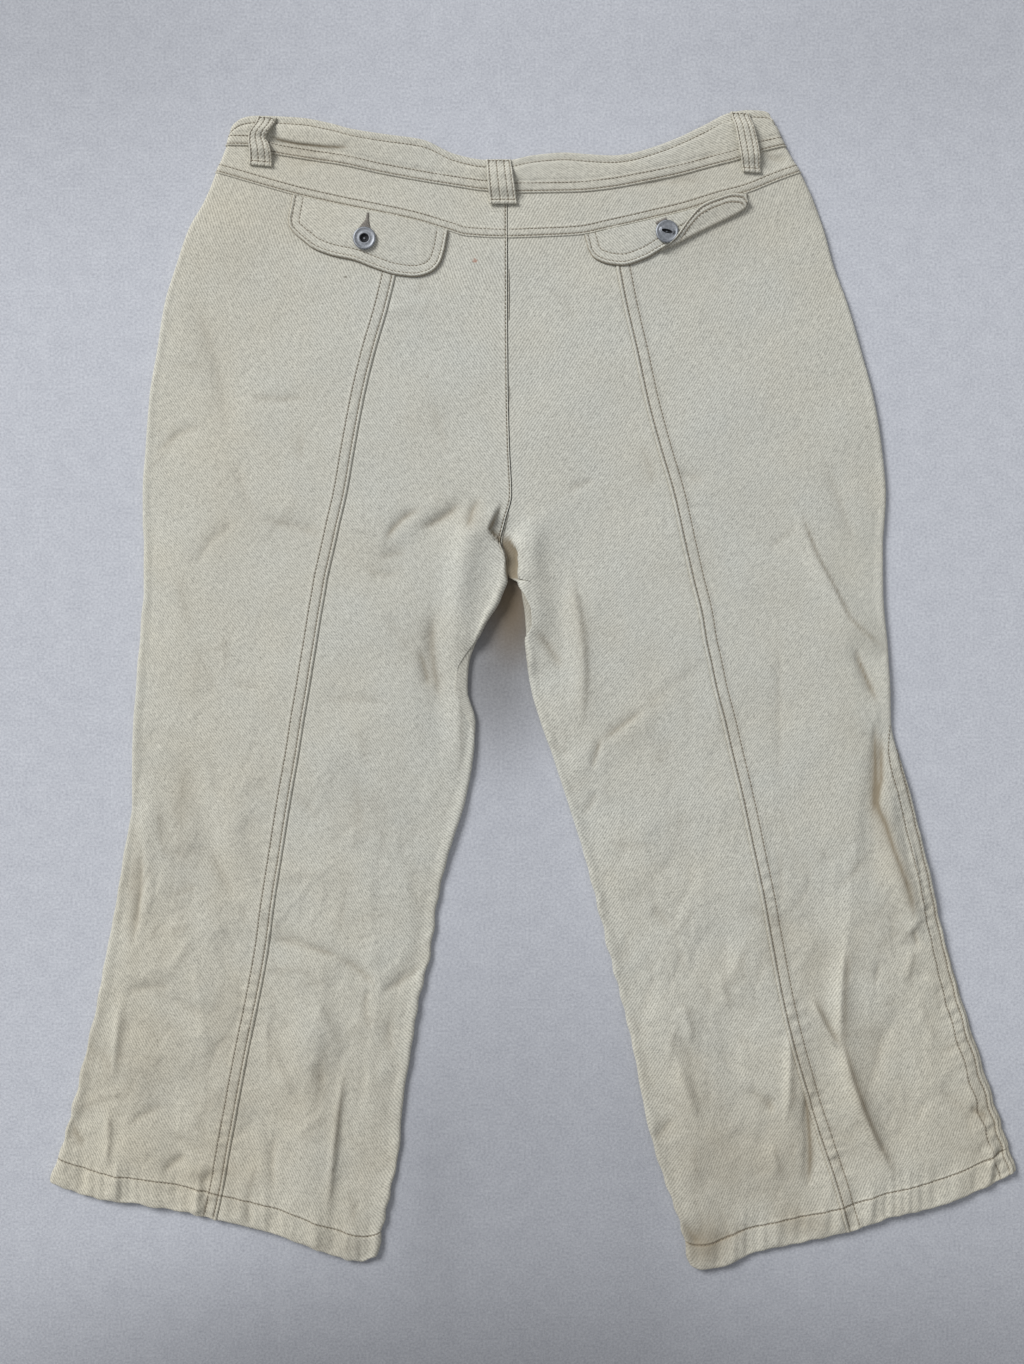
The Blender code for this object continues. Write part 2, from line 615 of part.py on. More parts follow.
def flap(name, sides, low):
    """Pocket flap on the cloth, two layers thick, with a corded rim on its free edges."""
    rim_u, rim_w = 0.035, 0.10
    u = np.concatenate([(0.0, rim_u, rim_u + 0.01), np.linspace(0.1, 0.9, 9),
                        (0.99 - rim_u, 1.0 - rim_u, 1.0)])
    w = np.array([0.0, 0.3, 0.6, 0.97 - rim_w, 1.0 - rim_w, 1.0])
    plan = flap_plan(sides, low, u, w)
    base = top_height(plan[..., 0], plan[..., 1]) + FLAP_SEAT
    rise = np.zeros_like(base)
    rise[-2:, :] = RIM_RISE
    rise[1:, :2] = RIM_RISE
    rise[1:, -2:] = RIM_RISE
    lower = np.concatenate([plan, base[..., None]], axis=-1)
    upper = np.concatenate([plan, (base + FLAP_WALL + rise)[..., None]], axis=-1)
    piece = closed_sheet(name, upper, lower)
    give_material(piece, "linen_trim", 0.85)
    return piece


def turned_corner(flap_piece):
    """The corner that is folded up over the flap, joined to it along the fold line. Across
    the fold it is a wall on a path: out of the flap, round the bend and back over it."""
    table = np.array(TURN_UP, float)
    fold, edge, rise = table[:, 0:2], table[:, 2:4], table[:, 4]
    reach = np.linalg.norm(edge - fold, axis=-1)
    direction = (edge - fold) / reach[:, None]
    base = top_height(fold[:, 0], fold[:, 1]) + FLAP_SEAT
    half_wall = 0.5 * FLAP_WALL
    # (share of the reach, distance past the fold, height, share of the rise, slope angle)
    path = ((0.0, 1.0, half_wall, 0.0, 180), (0.0, -0.8, half_wall, 0.0, 180),
            (0.0, -1.9, half_wall + 0.8, 0.0, 120), (0.0, -2.1, half_wall + 1.5, 0.0, 90),
            (0.0, -1.4, half_wall + 2.2, 0.0, 45), (0.25, 0.0, half_wall + 2.4, 0.6, 20),
            (0.6, 0.0, half_wall + 2.4, 1.0, 5), (1.0, 0.0, half_wall + 2.4, 1.0, 0))
    thin = 0.5 * FLAP_WALL - 0.1
    upper, lower = [], []
    for share, past, height, rise_share, angle in path:
        place = share * reach + past
        xy = fold + direction * place[:, None]
        z = base + height + rise * rise_share
        lean = np.radians(angle)
        out = np.stack([-np.sin(lean) * direction[:, 0], -np.sin(lean) * direction[:, 1],
                        np.full(len(xy), np.cos(lean))], axis=-1)
        middle = np.concatenate([xy, z[:, None]], axis=-1)
        upper.append(middle + thin * out)
        lower.append(middle - thin * out)
    corner = closed_sheet("turned_corner", np.array(upper), np.array(lower))
    join = flap_piece.modifiers.new("turned corner", "BOOLEAN")
    join.operation = "UNION"
    join.object = corner
    corner.hide_render = True
    corner.display_type = "WIRE"


def button(name, x, y):
    """Metal button, turned from its profile, on top of its flap."""
    seat = top_height(np.array([x]), np.array([y]))[0] + FLAP_SEAT + FLAP_WALL + 2.0 * HALF_GAP
    angle = np.arange(BUTTON_SIDES) * 2.0 * np.pi / BUTTON_SIDES
    rings = [(x, y, seat + BUTTON_PROFILE[0][1])]
    for radius, height in BUTTON_PROFILE[1:-1]:
        rings += [(x + radius * np.cos(a), y + radius * np.sin(a), seat + height) for a in angle]
    rings.append((x, y, seat + BUTTON_PROFILE[-1][1]))
    faces = []
    last = len(rings) - 1
    for k in range(BUTTON_SIDES):
        after = (k + 1) % BUTTON_SIDES
        faces.append((0, 1 + after, 1 + k))
        for ring in range(len(BUTTON_PROFILE) - 3):
            low, high = 1 + ring * BUTTON_SIDES, 1 + (ring + 1) * BUTTON_SIDES
            faces.append((low + k, low + after, high + after))
            faces.append((low + k, high + after, high + k))
        faces.append((high + k, high + after, last))
    piece = mesh_object(name, np.array(rings) * MM, np.array(faces))
    give_material(piece, "zinc", 0.45, 0.9)


def main():
    for old in list(bpy.data.objects):
        bpy.data.objects.remove(old, do_unlink=True)
    for half in ("left", "right"):
        outer_panel(half)
        inner_panel(half)
        front_panel(half)
        yoke(half)
    waistband("waistband_back", 0.0, back_paths)
    waistband("waistband_front", FRONT_DROP, front_paths)
    for row in LOOPS:
        belt_loop(*row)
    flap("pocket_flap_left", FLAP_LEFT_SIDES, FLAP_LEFT_LOW)
    turned_corner(flap("pocket_flap_right", FLAP_RIGHT_SIDES, FLAP_RIGHT_LOW))
    for row in BUTTONS:
        button(*row)


main()
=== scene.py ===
"""Looks of a pair of women's capri pants in cream linen and cotton twill, laid flat, back up.

Every piece of cloth is a closed shell over its solid, with the creases, the felled seams and the
hems as shape. The topstitching is thread, sewn stitch by stitch along the seams.

Tables are in millimetres, in the frame's axes: +Z up, +Y to the waist, +X to the wearer's right.
A point of a leg is found from the row v, which runs from 0 at the waist edge to 1 at the
waistband seam, 2 at the yoke seam and 3 at the hem, and the path q, the millimetres of cloth
from the side edge, positive over the back layer and negative under the front layer.
"""

import bpy
import numpy as np
from bpy.props import FloatProperty, FloatVectorProperty, IntProperty, PointerProperty
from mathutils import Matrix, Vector


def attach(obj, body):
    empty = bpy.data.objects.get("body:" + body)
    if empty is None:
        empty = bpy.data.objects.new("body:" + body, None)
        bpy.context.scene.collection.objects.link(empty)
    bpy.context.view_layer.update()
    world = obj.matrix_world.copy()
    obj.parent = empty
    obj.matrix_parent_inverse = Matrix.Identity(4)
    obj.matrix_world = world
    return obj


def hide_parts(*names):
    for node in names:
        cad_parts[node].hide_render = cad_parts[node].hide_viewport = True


bl_info = {
    "name": "Capri Pants",
    "version": (1, 0, 0),
    "blender": (4, 5, 0),
    "location": "3D View > Sidebar > Capri Pants",
    "description": "Cloth, topstitching, flaps and buttons of a pair of capri pants",
    "category": "Add Mesh",
}

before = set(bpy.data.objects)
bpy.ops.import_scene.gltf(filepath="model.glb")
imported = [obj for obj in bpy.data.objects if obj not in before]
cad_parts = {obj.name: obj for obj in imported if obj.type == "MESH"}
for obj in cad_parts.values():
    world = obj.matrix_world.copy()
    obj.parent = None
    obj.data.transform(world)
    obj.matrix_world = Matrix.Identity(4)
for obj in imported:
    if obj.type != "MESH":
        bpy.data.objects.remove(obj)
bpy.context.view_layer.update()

MM = 0.001
HALVES = ("left", "right")
UP = (0.0, 0.0, 1.0)

# ---- Cloth and seams ---------------------------------------------------------------------
HALF_GAP = 0.16  # from the middle of the centre back to the cloth on either side
EDGE_REACH = 3.2  # how far in from a folded edge the cloth still turns over
EDGE_PATH = 4.6  # the length of cloth in that turn
EDGE_LEVEL = 2.6  # height at which the back meets the front round a folded edge
LOW_TOP = 3.4  # the back layer's least height
EDGE_LOW = 1.4  # and how much higher that is beside an edge
LOWEST_BACK = 2.7  # the creases stay above this, clear of the front
FRONT_DROP = 0.18  # row of the front waistband's top edge
CROTCH_Y = 84
CROWN_REACH = 30.0  # how far in from an edge the back layer still swells up
UNDERLAP = 1.7  # how far one panel runs on under the folded edge of the next
# The most painted shade and wear that a point of the cloth is given
MOST_SHADE_AND_WEAR = 1.7

FIRST_STITCH = 2.8  # from the folded edge of a felled seam to its first row of stitches
FELLED = (FIRST_STITCH, 10.2)  # to both rows
YOKE_STITCHES = (1.9, 6.9)
BAND_STITCHES = (1.9, 7.8)
BAND_TOP_STITCH = 5.4
HEM_STITCH = 19.0
FLAP_STITCHES = (2.7, 8.3)
PUCKER_WAVE = 7.6  # from one pucker of a seam to the next
YOKE_PUCKER = 0.10
THREAD_SEAT = 0.12  # from the cloth to the line that is sewn
LAST_ROW = 2.998  # where the stitches of the leg seams end, just above the hem's edge
CENTRE_END = 2.0 + 228.0 / 767.0  # where those of the centre back end, above the fork
SIDE_START = 2.0 + 413.0 / 749.0  # where the right side seam has come round the edge

# Cut of the sheets, in metres: across and down, and the area where it isn't summed
CUT_AREAS = {"waistband_back": 0.44 * 0.0235, "waistband_front": 0.42 * 0.0165,
             "pocket_flap_": 0.0044}

# Rows and columns of points, as distances from a folded edge
SEAM_STEPS = (0.0, 0.2, 0.5, 0.9, 1.4, 1.9, 2.3, 2.6, 2.8, 3.0, 3.4, 4.2, 5.6, 7.2, 8.6, 9.5,
              9.9, 10.2, 10.5, 10.9, 11.7, 12.6, 14.0)
CENTRE_STEPS = 15  # so many of them at the centre back, which has one row of stitches
HEM_STEPS = (22.0, 20.8, 20.2, 19.7, 19.35, 19.0, 18.65, 18.3, 17.6, 16.2)
LIP_STEPS = (3.0, 1.8, 1.0, 0.5, 0.2, 0.0)
BAND_STEPS = (0.0, 0.25, 0.6, 1.2, 2.4, 3.8, 4.6, 5.1, 5.4, 5.7, 6.2, 7.2)
UNDER_STEPS = (-UNDERLAP, -0.9, -0.3, 0.0, 0.3, 0.7, 1.3, 2.2, 3.6)
PLAIN_STEPS = (7.0, 4.6, 3.0, 2.0, 1.2, 0.6, 0.0)
BACK_START = 2.0 - 0.06  # first row of the back leg panels, under the yoke
YOKE_DEPTH = 27.0  # mean depths of the yoke and the waistband, which their rows are set for
BAND_DEPTH = 21.5
HEM_TOP = 23.5  # from the hem's edge up to where the rows of a leg begin to be closer
HEM_MIDDLE = (14.4, 4.0)  # between the close rows at its stitches and those at its edge
# Rows and columns of the back leg panels, and columns of the waistband, in steps of the cloth
ROW_STEP, COLUMN_STEP, BAND_COLUMN_STEP = 1.25, 0.95, 0.7
# The front's rows and columns, and those within FRONT_TURN of its edges
FRONT_ROW_STEP, FRONT_COLUMN_STEP, FRONT_EDGE_STEP, FRONT_TURN = 6.5, 12.0, 1.6, 14.0

SECTION_COLUMNS = ("y", "side_l", "seam_l", "inner_l", "inner_r", "seam_r", "side_r")
SECTIONS = (
    (432, -225, -99, -19.6, -19.6, 45, 178.5),
    (407, -231, -99, -19.6, -19.6, 47, 190),
    (387, -239, -100, -19.6, -19.6, 50, 201),
    (366, -248, -101, -19.6, -19.6, 52, 211),
    (346, -259, -101, -19.6, -19.6, 55, 218),
    (320, -268, -102, -19.6, -19.6, 61, 225),
    (290, -277, -108, -19.6, -19.6, 67, 236),
    (255, -283, -118, -19.4, -19.4, 75, 246),
    (218, -289, -127, -19.0, -19.0, 83, 256),
    (180, -292, -134, -18.0, -18.0, 93, 262),
    (146, -294, -140, -16.5, -16.5, 103, 265),
    (124, -294, -145, -22, -22, 108, 264),
    (110, -293, -148, -25, -25, 111, 263),
    (97, -293, -151, -21, -21, 114, 263),
    (84, -293, -154, -19, -19, 117, 263),
    (81.5, -293, -154.5, -19.8, -11, 117.5, 263),
    (72, -293, -156, -22.8, -9.6, 120, 263),
    (55, -295, -159, -32, -7, 124, 264),
    (36, -296, -162, -42, -6, 127, 266),
    (18, -298, -165, -48, -5, 131, 267),
    (-1, -299, -168, -49, -2, 135, 268),
    (-24, -301, -172, -43, 5, 141, 269),
    (-50, -302, -176, -45, 14, 147, 274),
    (-84, -302, -182, -51, 25, 155, 284),
    (-122, -308, -188, -63, 37, 163, 293),
    (-160, -314, -194, -72, 47, 171, 302),
    (-197, -321, -199, -77, 56, 178, 312),
    (-235, -328, -206, -86, 66, 185, 323),
    (-273, -337, -214, -92, 75, 194, 335),
    (-311, -346, -221, -98, 82, 205, 347),
    (-348, -356, -228, -101, 91, 217, 359),
    (-372, -364, -232, -106, 99, 225, 367),
    (-400, -372, -238, -112, 109, 233, 376),
    (-434, -382, -245, -119, 118, 243, 387),
)

BAND_TOP = ((-227, 422), (-218, 428), (-209, 429.5), (-175, 428), (-153, 424), (-138, 420),
            (-113, 416), (-84, 412), (-59, 401), (-37, 396.5), (-21, 396), (1, 400),
            (24, 402), (40, 401), (59, 400), (70, 401), (86, 405), (108, 413), (127, 422),
            (148, 432), (162, 434), (172, 433.5), (176.5, 432), (178.5, 429))
BAND_SEAM = ((-231, 407), (-214, 406.5), (-197, 401), (-170, 396.5), (-143, 392),
             (-116, 386), (-89, 381), (-61, 376.5), (-37, 373), (-11, 371.2), (20, 371.6),
             (34, 372), (59, 374.6), (86, 379.6), (113, 385.3), (135, 391.3), (151, 395.3),
             (172, 402.5), (190, 407))
YOKE_SEAM = ((-239, 387), (-186, 371.5), (-170, 367.5), (-143, 361.5), (-116, 356),
             (-88, 350), (-64, 343), (-50, 339), (-21, 337.5), (10, 338.6), (34, 340),
             (59, 345), (86, 351), (114, 357.5), (141, 366), (161, 371.5), (182, 380),
             (201, 387))
HEMS = {
    "left": ((-364, -371), (-350, -377), (-324, -384), (-286, -389), (-239, -399),
             (-197, -409), (-154, -425), (-130, -431), (-118, -427)),
    "right": ((118, -434), (127, -437), (137, -436), (165, -425), (235, -409), (264, -399),
              (308, -388), (346, -372), (364, -362)),
}
ROW_ENDS = {
    "left": {"side": (422, 407, 387, -371), "inner": (396, 371.3, 337.6, -427)},
    "right": {"side": (429, 407, 387, -362), "inner": (396, 371.3, 337.6, -434)},
}

# Where the back layer's cloth ends at an edge: rows of (y, path from that edge). Positive is
# on top, where the front comes round the edge and shows; negative is out of sight below.
SIDE_ENDS = {
    "left": ((430, -9), (-430, -9)),
    "right": ((-20, -9), (-32, -5.6), (-45, -2.2), (-60, -0.3), (-80, 0.4), (-110, 0.6),
              (-160, 1.0), (-200, 2.4), (-260, 3.9), (-365, 4.4)),
}
INSEAM_ENDS = {
    "left": ((84, 0), (66, -3), (48, 0), (34, 4), (18, 10), (0, 10.5), (-20, 6), (-45, 0),
             (-70, -6), (-430, -6)),
    "right": ((84, 0), (74, 4), (62, 7.5), (48, 7), (34, 0), (10, -6), (-434, -6)),
}

# ---- Height of the back layer ------------------------------------------------------------
# rows of (y, height away from the edges, height close to an edge)
CROWN = ((436, 6.6, 6.0), (380, 6.2, 5.2), (320, 5.8, 4.1), (100, 6.2, 3.6), (-100, 6.2, 3.1),
         (-330, 5.4, 3.1), (-436, 4.8, 3.3))

# A fold is a bell across a bowed line from (x1, y1) to (x2, y2); left and right are its widths
# on the two sides of the way from the first point to the second.
# rows of (x1, y1, x2, y2, bow, left, right, height)
FOLDS = (
    # under the waistband, beside the left belt loop
    (-192, 419, -124, 411, 2, 5, 6, 0.9),
    (-202, 408, -140, 402, 2, 5, 4, -0.5),
    # crotch: the valley down to the fork, and the flanks that roll over it
    (-20, 128, -15, 84, 3, 8, 8, -3.0),
    (-38, 142, -54, 30, -8, 12, 10, 4.2),
    (-1, 130, 6, 34, -4, 10, 13, 3.6),
    # creases that fan out from the crotch
    (-120, 104, -66, 142, 0, 8, 8, 1.0),
    (-92, 112, -46, 142, 0, 8, 7, -0.7),
    (-78, 62, -72, -40, 3, 7, 9, -1.0),
    (-62, 50, -60, -60, 4, 9, 8, 1.4),
    (24, 96, 34, -20, -8, 8, 8, -1.0),
    (48, 84, 46, -30, -6, 10, 10, 1.0),
    (124, 24, 20, -66, 6, 12, 14, 1.5),
    # left leg, outer side
    (-276, -40, -222, -170, 5, 13, 12, -2.2),
    (-292, -70, -300, -200, 4, 9, 9, 2.6),
    (-216, -60, -236, -210, -6, 16, 14, 1.8),
    # right leg, outer side
    (206, 106, 266, 26, -6, 10, 9, 2.8),
    (240, 40, 264, -20, 0, 8, 8, -2.0),
    (262, -36, 256, -150, -6, 9, 7, -2.4),
    (264, -48, 294, -196, -8, 8, 9, 4.2),
    (212, -150, 222, -300, 6, 13, 12, -1.6),
    (230, -200, 268, -362, -12, 10, 9, 2.4),
    (206, -290, 212, -376, 3, 8, 8, -2.0),
    # shins: broad, shallow waves down to the hems
    (-296, -250, -312, -376, 3, 14, 12, 1.6),
    (-262, -270, -268, -380, -3, 12, 12, -1.2),
    (-176, -200, -170, -400, 6, 16, 14, 1.6),
    (-138, -180, -142, -410, -6, 14, 14, -1.4),
    (96, -200, 120, -410, 6, 14, 12, 1.6),
    (140, -150, 168, -400, -6, 14, 14, -1.3),
    (318, -250, 336, -366, 3, 12, 10, 1.6),
)

# Creases are narrower, with a sharp crest, and hold a little painted shade and wear: along
# the line of a trough, and on the side of a ridge away from the light.
# rows of (x1, y1, x2, y2, bow, left, right, height, painted shade and wear)
CREASES = (
    # waist
    (-193, 405, -160, 402, -1, 2, 3, -0.5, 0.5),
    (174, 401, 190, 398, -2, 2, 2, -1.0, 0.8),
    (78, 376, 132, 381, 2, 3, 3, -0.8, 0.4),
    (-180, 392, -150, 396, 2, 4, 4, -0.5, 0.3),
    (208, 366, 222, 350, -1, 4, 4, -0.6, 0.3),
    # left seat and thigh
    (-255, 290, -230, 190, 5, 9, 12, -0.9, 0.35),
    (-210, 219, -172, 218.5, -1.5, 3, 3, -0.7, 0.5),
    (-284, 175, -248, 197, 4.5, 3, 3.5, -0.8, 0.5),
    (-223, 170, -208, 127, -2, 5, 7, -0.7, 0.3),
    (-208, 127, -158, 115, 2, 4, 4, -0.7, 0.4),
    (-254, 91, -224, 124, 4, 5, 5, -0.7, 0.3),
    (-226, 2, -204, 0, 1, 3, 3, -0.5, 0.3),
    (-156, -8, -106, -10, 1, 4, 4, -0.5, 0.25),
    # crotch, left
    (-111, 112, -86, 135, 3, 2.4, 4, -1.4, 1.1),
    (-84, 121, -56, 139, -2, 2.4, 4, -1.4, 1.0),
    (-49, 119, -41, 143, 2, 3, 6, -1.5, 0.9),
    (-116, 98, -95, 102, 1, 4, 4, -0.6, 0.5),
    (-126, 91, -99, 88, -4, 3, 4, -0.6, 0.4),
    (-76, 54, -71, -4, -2, 2.6, 4.5, -1.7, 1.0),
    (-86, 28, -79, 2, 1, 2.2, 3, -1.2, 1.0),
    (-110, 56, -85, 23, -2, 5, 5, -0.6, 0.2),
    (-57, 6, -56.5, -62, 1, 2.5, 3, 0.5, 0.3),
    # crotch, right
    (27, 85, 36, -24, 5.5, 2.2, 9, 1.7, 0.7),
    (2, 43, 21, 16, 1, 2.2, 3, -1.5, 1.0),
    (12, -42, 28, -50, 0, 2.5, 3, -0.7, 0.3),
    (52, -38, 82, -16, 0, 3.4, 2.4, -1.3, 0.9),
    (82, -16, 126, 18, 1, 7, 7, -0.8, 0.25),
    (50, -37, 44, -60, 0, 2, 3, -1.3, 0.9),
    (27, 149, 46, 156, 1, 3, 3, -0.6, 0.4),
    (109, 163, 128, 157, -1, 3, 3, -0.6, 0.4),
    (38, -95, 48, -78, 0, 3, 3, -0.8, 0.4),
    # right thigh and knee
    (219, 168, 240, 108, 1, 5, 6, -0.7, 0.35),
    (242, 28, 258, -9, -0.5, 1.5, 2.2, -1.5, 1.7),
    (252, 2, 261, -44, 1, 3, 3, 0.6, 0.0),
    (274, -66, 293, -172, 0, 8, 4, 0.9, 0.0),
    (177, 105, 196, 119, 1, 3, 3, -0.5, 0.3),
    (185, 34, 185, -66, -1, 4, 5, -0.6, 0.25),
    (256.5, -28, 255, -94, 1, 2.5, 1.6, -1.5, 1.3),
    # left shin
    (-295, -120, -301, -190, 2, 3, 4, -1.3, 0.6),
    (-196, -187, -143, -203, 2, 2, 2.5, -0.9, 0.8),
    (-145, -203, -119, -223, 2, 2.5, 3, -0.9, 0.7),
    (-113, -228, -84, -207, -1, 2.5, 3, -0.9, 0.6),
    (-305, -228, -273, -224, 2, 4, 5, -0.7, 0.4),
    (-256, -200, -246, -280, 2, 8, 8, 0.6, 0.0),
    (-310, -235, -316, -292, 0, 4, 3, 1.0, 0.4),
    (-143, -290, -154, -390, -1, 1.5, 3, 1.2, 0.7),
    (-194, -335, -195, -380, -2, 2.5, 3, -0.7, 0.4),
    (-201, -250, -199, -286, 0, 2, 3, 0.6, 0.2),
    (-347, -322, -339, -346, -1, 2.5, 3, -0.9, 0.5),
    (-320, -315, -321, -358, 2, 2, 3, 0.9, 0.4),
    (-278, -363, -261, -350, 1, 3, 4, -0.9, 0.5),
    (-252, -372, -238, -362, 0, 2.5, 3, -0.7, 0.4),
    (-303, -327, -277, -314, 2, 4, 4, -0.6, 0.4),
    (-160, -235, -172, -310, 3, 8, 9, 0.4, 0.1),
    (-126, -250, -134, -330, 2, 7, 8, -0.4, 0.1),
    # right shin
    (236, -125, 232, -204, 3, 9, 8, 0.5, 0.1),
    (233, -195, 230, -262, -2, 4.5, 1.6, 1.5, 0.8),
    (230, -262, 266, -358, -4.5, 3.0, 1.7, 1.7, 1.3),
    (208, -234, 229, -270, -1, 3.5, 1.6, 1.6, 1.0),
    (284, -196, 279, -220, 0, 3, 4, 0.7, 0.4),
    (284, -180, 289, -194, 0, 2, 2, -0.9, 0.7),
    (260, -203, 256, -224, 0, 3, 3, -0.6, 0.4),
    (191, -258, 189, -322, 1, 4.5, 1.6, 1.3, 0.5),
    (204, -306, 207, -372, 2.5, 1.6, 2.4, -2.4, 1.7),
    (91, -165, 103, -180, 0, 3, 3, -0.7, 0.4),
    (100, -262, 122, -312, 1, 3, 4, 0.5, 0.1),
    (178, -342, 184, -366, 0, 2.5, 4, 0.7, 0.3),
    (224, -350, 234, -362, 0, 3, 3, -0.7, 0.4),
    (328, -314, 340, -322, 0, 2.5, 3, -1.1, 0.9),
    (112, -401, 124, -417, 0, 2.5, 3, -0.8, 0.5),
    # small ones on both shins
    (-242, -121, -225, -155, -1, 3, 4, -0.7, 0.4),
    (-124, -225, -124, -252, -2, 2, 3, -0.6, 0.6),
    (-198, -262, -180, -308, -1, 3, 4, 0.7, 0.2),
    (-164, -233, -146, -274, 1, 4, 4, 0.6, 0.2),
    (-346, -330, -337, -341, -1, 2, 3, -0.7, 0.6),
    (-272, -335, -246, -352, 2, 3, 4, -0.6, 0.3),
    (108, -284, 124, -322, -1, 2.5, 3, 0.7, 0.2),
    (111, -236, 118, -264, 1, 3, 3, 0.7, 0.3),
    (139, -214, 146, -240, 0, 3, 4, 0.6, 0.3),
    (104, -323, 91, -338, 1, 3, 3, -0.6, 0.4),
    (159, -300, 181, -318, 2, 3, 4, -0.6, 0.4),
    (176, -306, 180, -318, 0, 2, 3, -0.7, 0.5),
    (246, -128, 226, -150, 2, 4, 4, -0.6, 0.3),
    (262, -250, 250, -300, 3, 6, 6, -0.6, 0.3),
    (302, -300, 330, -330, 4, 6, 6, -0.5, 0.3),
)

# Ledges: the cloth steps up by a height, to the left of the way along a line of points, and
# levels out again over a length. Shade is painted along the low side.
# rows of (height, length, painted shade, width of the painted shade, the points)
LEDGES = (
    (4.6, 11, 1.6, 1.3,
     ((-45, 26), (-42, 37), (-36, 49), (-26, 65), (-20.2, 80), (-20.2, 85), (-20.7, 94),
      (-21.8, 102), (-25.2, 108.9), (-33.8, 119.5), (-28.6, 130.4), (-22.9, 141.7))),
    (4.2, 12, 1.2, 1.3,
     ((-21.8, 118), (-16.1, 110), (-11.6, 103.2), (-11.2, 91.9), (-11.6, 82), (-9.2, 68),
      (-7, 44), (-5, 22), (-2.6, 6))),
    (1.3, 7, 2.8, 0.5,
     ((-199, 414.4), (-188, 410.9), (-176, 408.7), (-155, 406.5), (-138, 405.6))),
    (1.3, 9, 1.3, 0.9,
     ((264, 29), (248, 41.8), (236.8, 52), (225.4, 75.6), (213.1, 98.1), (200, 132))),
    (1.4, 30, 1.5, 2.0,
     ((262.2, -30), (262.4, -52), (262, -69), (259.6, -77), (258.4, -85), (260.6, -93),
      (264.5, -101), (268.4, -114), (272.4, -125), (277, -138), (281, -148), (287, -176))),
)

# Darker patches, painted shade where the light falls off and in shadowed hollows, with some
# dinginess: rows of (x, y, radius along x, radius along y, painted shade and wear)
PATCHES = (
    (140, -352, 62, 44, 0.50), (-225, 320, 62, 60, 0.12), (-125, -395, 28, 40, 0.18),
    (-288, -290, 24, 80, 0.16), (-224, -305, 16, 70, 0.20), (208, -255, 14, 55, 0.24),
    (330, -325, 18, 55, 0.28), (256, -72, 4, 30, 0.60), (261, -110, 8, 22, 0.40),
    (-255, -368, 60, 16, 0.08), (-262, -100, 10, 48, 0.30), (-300, -150, 5, 40, 0.45),
    (268, -150, 14, 45, 0.22), (-250, -150, 46, 60, 0.13), (-45, 128, 14, 12, 0.25),
    (-30, 119, 5, 7, 0.4), (128, -418, 22, 18, 1.2), (205, -402, 20, 9, 0.5),
    (-140, -420, 22, 10, 0.5), (122, 358, 62, 46, 0.20), (-140, 395, 60, 30, 0.14),
    (-72, 30, 20, 46, 0.16), (250, -310, 12, 44, 0.16), (-130, 112, 50, 14, 0.10),
    (-235, 130, 8, 60, 0.08), (-170, -300, 30, 70, 0.10), (60, -36, 28, 10, 0.14),
    (150, 175, 50, 30, 0.05), (40, 45, 4, 30, 0.15),
)

# Waves of the hems: rows of (x, width, height)
HEM_WAVES = {
    "left": ((-352, 5, 0.8), (-341, 5, -0.6), (-316, 4, 1.1), (-306, 5, -0.7), (-286, 6, 0.6),
             (-270, 5, -0.6), (-254, 3, 1.2), (-246, 4, -0.7), (-225, 6, 0.6), (-206, 6, 0.7),
             (-196, 5, -0.6), (-182, 7, 0.6), (-165, 6, 0.8), (-152, 5, -0.7), (-140, 6, 0.7),
             (-128, 4, -0.5)),
    "right": ((128, 5, 0.7), (139, 4, -0.6), (150, 5, 0.8), (163, 5, -0.6), (182, 7, 0.6),
              (200, 5, -0.6), (216, 4, 0.9), (229, 4, 1.1), (239, 4, -0.8), (251, 4, 0.9),
              (262, 5, -0.6), (280, 7, 0.5), (300, 7, -0.5), (318, 6, 0.6), (332, 4, -0.7),
              (341, 3, 1.0), (348, 3, -0.8)),
}

RELIEF = 1.5  # all creases are this much higher than in their table
SHIN_RELIEF = 0.75  # and on the shins, higher again by this share
CREST = 0.7  # radius of a crease's crest
SHADE_WAY = (0.7, -0.7)  # away from the light: the side of a ridge on which its shade is painted
# Scattered crinkles: the ranges that each is drawn from
CRINKLE_SEED = 11
CRINKLE_X, CRINKLE_Y = (-370, 370), (-436, 380)
CRINKLE_LENGTHS, CRINKLE_WIDTHS, CRINKLE_HEIGHTS = (12.0, 48.0), (1.8, 5.5), (0.15, 0.6)
# Rumples: rows of (size across, size down, height)
RUMPLES = ((40.0, 70.0, 0.9), (21.0, 36.0, 0.65), (12.0, 17.0, 0.35))
RUMPLE_WARP = 16.0  # how far the lattice under them is pulled about
RUMPLE_CREST = 5.0  # how sharp their crests are
LATTICE = 128  # corners of the noise's lattice each way, before it repeats
SWELL_SEED = 5
SWELL_COUNT, SWELL_WAVES, SWELL_HEIGHT = 8, (55, 170), 0.16

# ---- Trims -------------------------------------------------------------------------------
# Belt loops: rows of (name, buckle, lean of the ends, (x, y, width) of points down the loop)
LOOPS = (
    ("belt_loop_left", 1.0, -0.10,
     ((-199, 428, 14), (-202.6, 419.5, 13.4), (-206.4, 412.3, 13), (-205.3, 407.5, 15.6),
      (-204.2, 401, 16.6), (-204.3, 391.5, 17.4))),
    ("belt_loop_centre", 0.1, 0.0, ((-26.2, 396, 18.8), (-24.5, 379, 19.8), (-22.5, 363, 20.6))),
    ("belt_loop_right", 0.25, -0.05,
     ((154.2, 431.5, 14), (157.5, 419, 14.4), (160, 408, 15.2), (163.4, 386.5, 13.4))),
)
LOOP_FOOT = 4.5  # length of a loop's end that lies on the cloth
LOOP_RAMP = 7.0  # length over which it then rises
LOOP_LIFT = 3.4
LOOP_SEAT = 0.8  # from the cloth to its underside
LOOP_WALL = 1.3
LOOP_BAR = 3.0  # the bar tack, above the loop's lower end
LOOP_ROWS = ((0.0, 0.86, 36), (0.88, 1.0, 16))  # shares down it: from, to, and how many
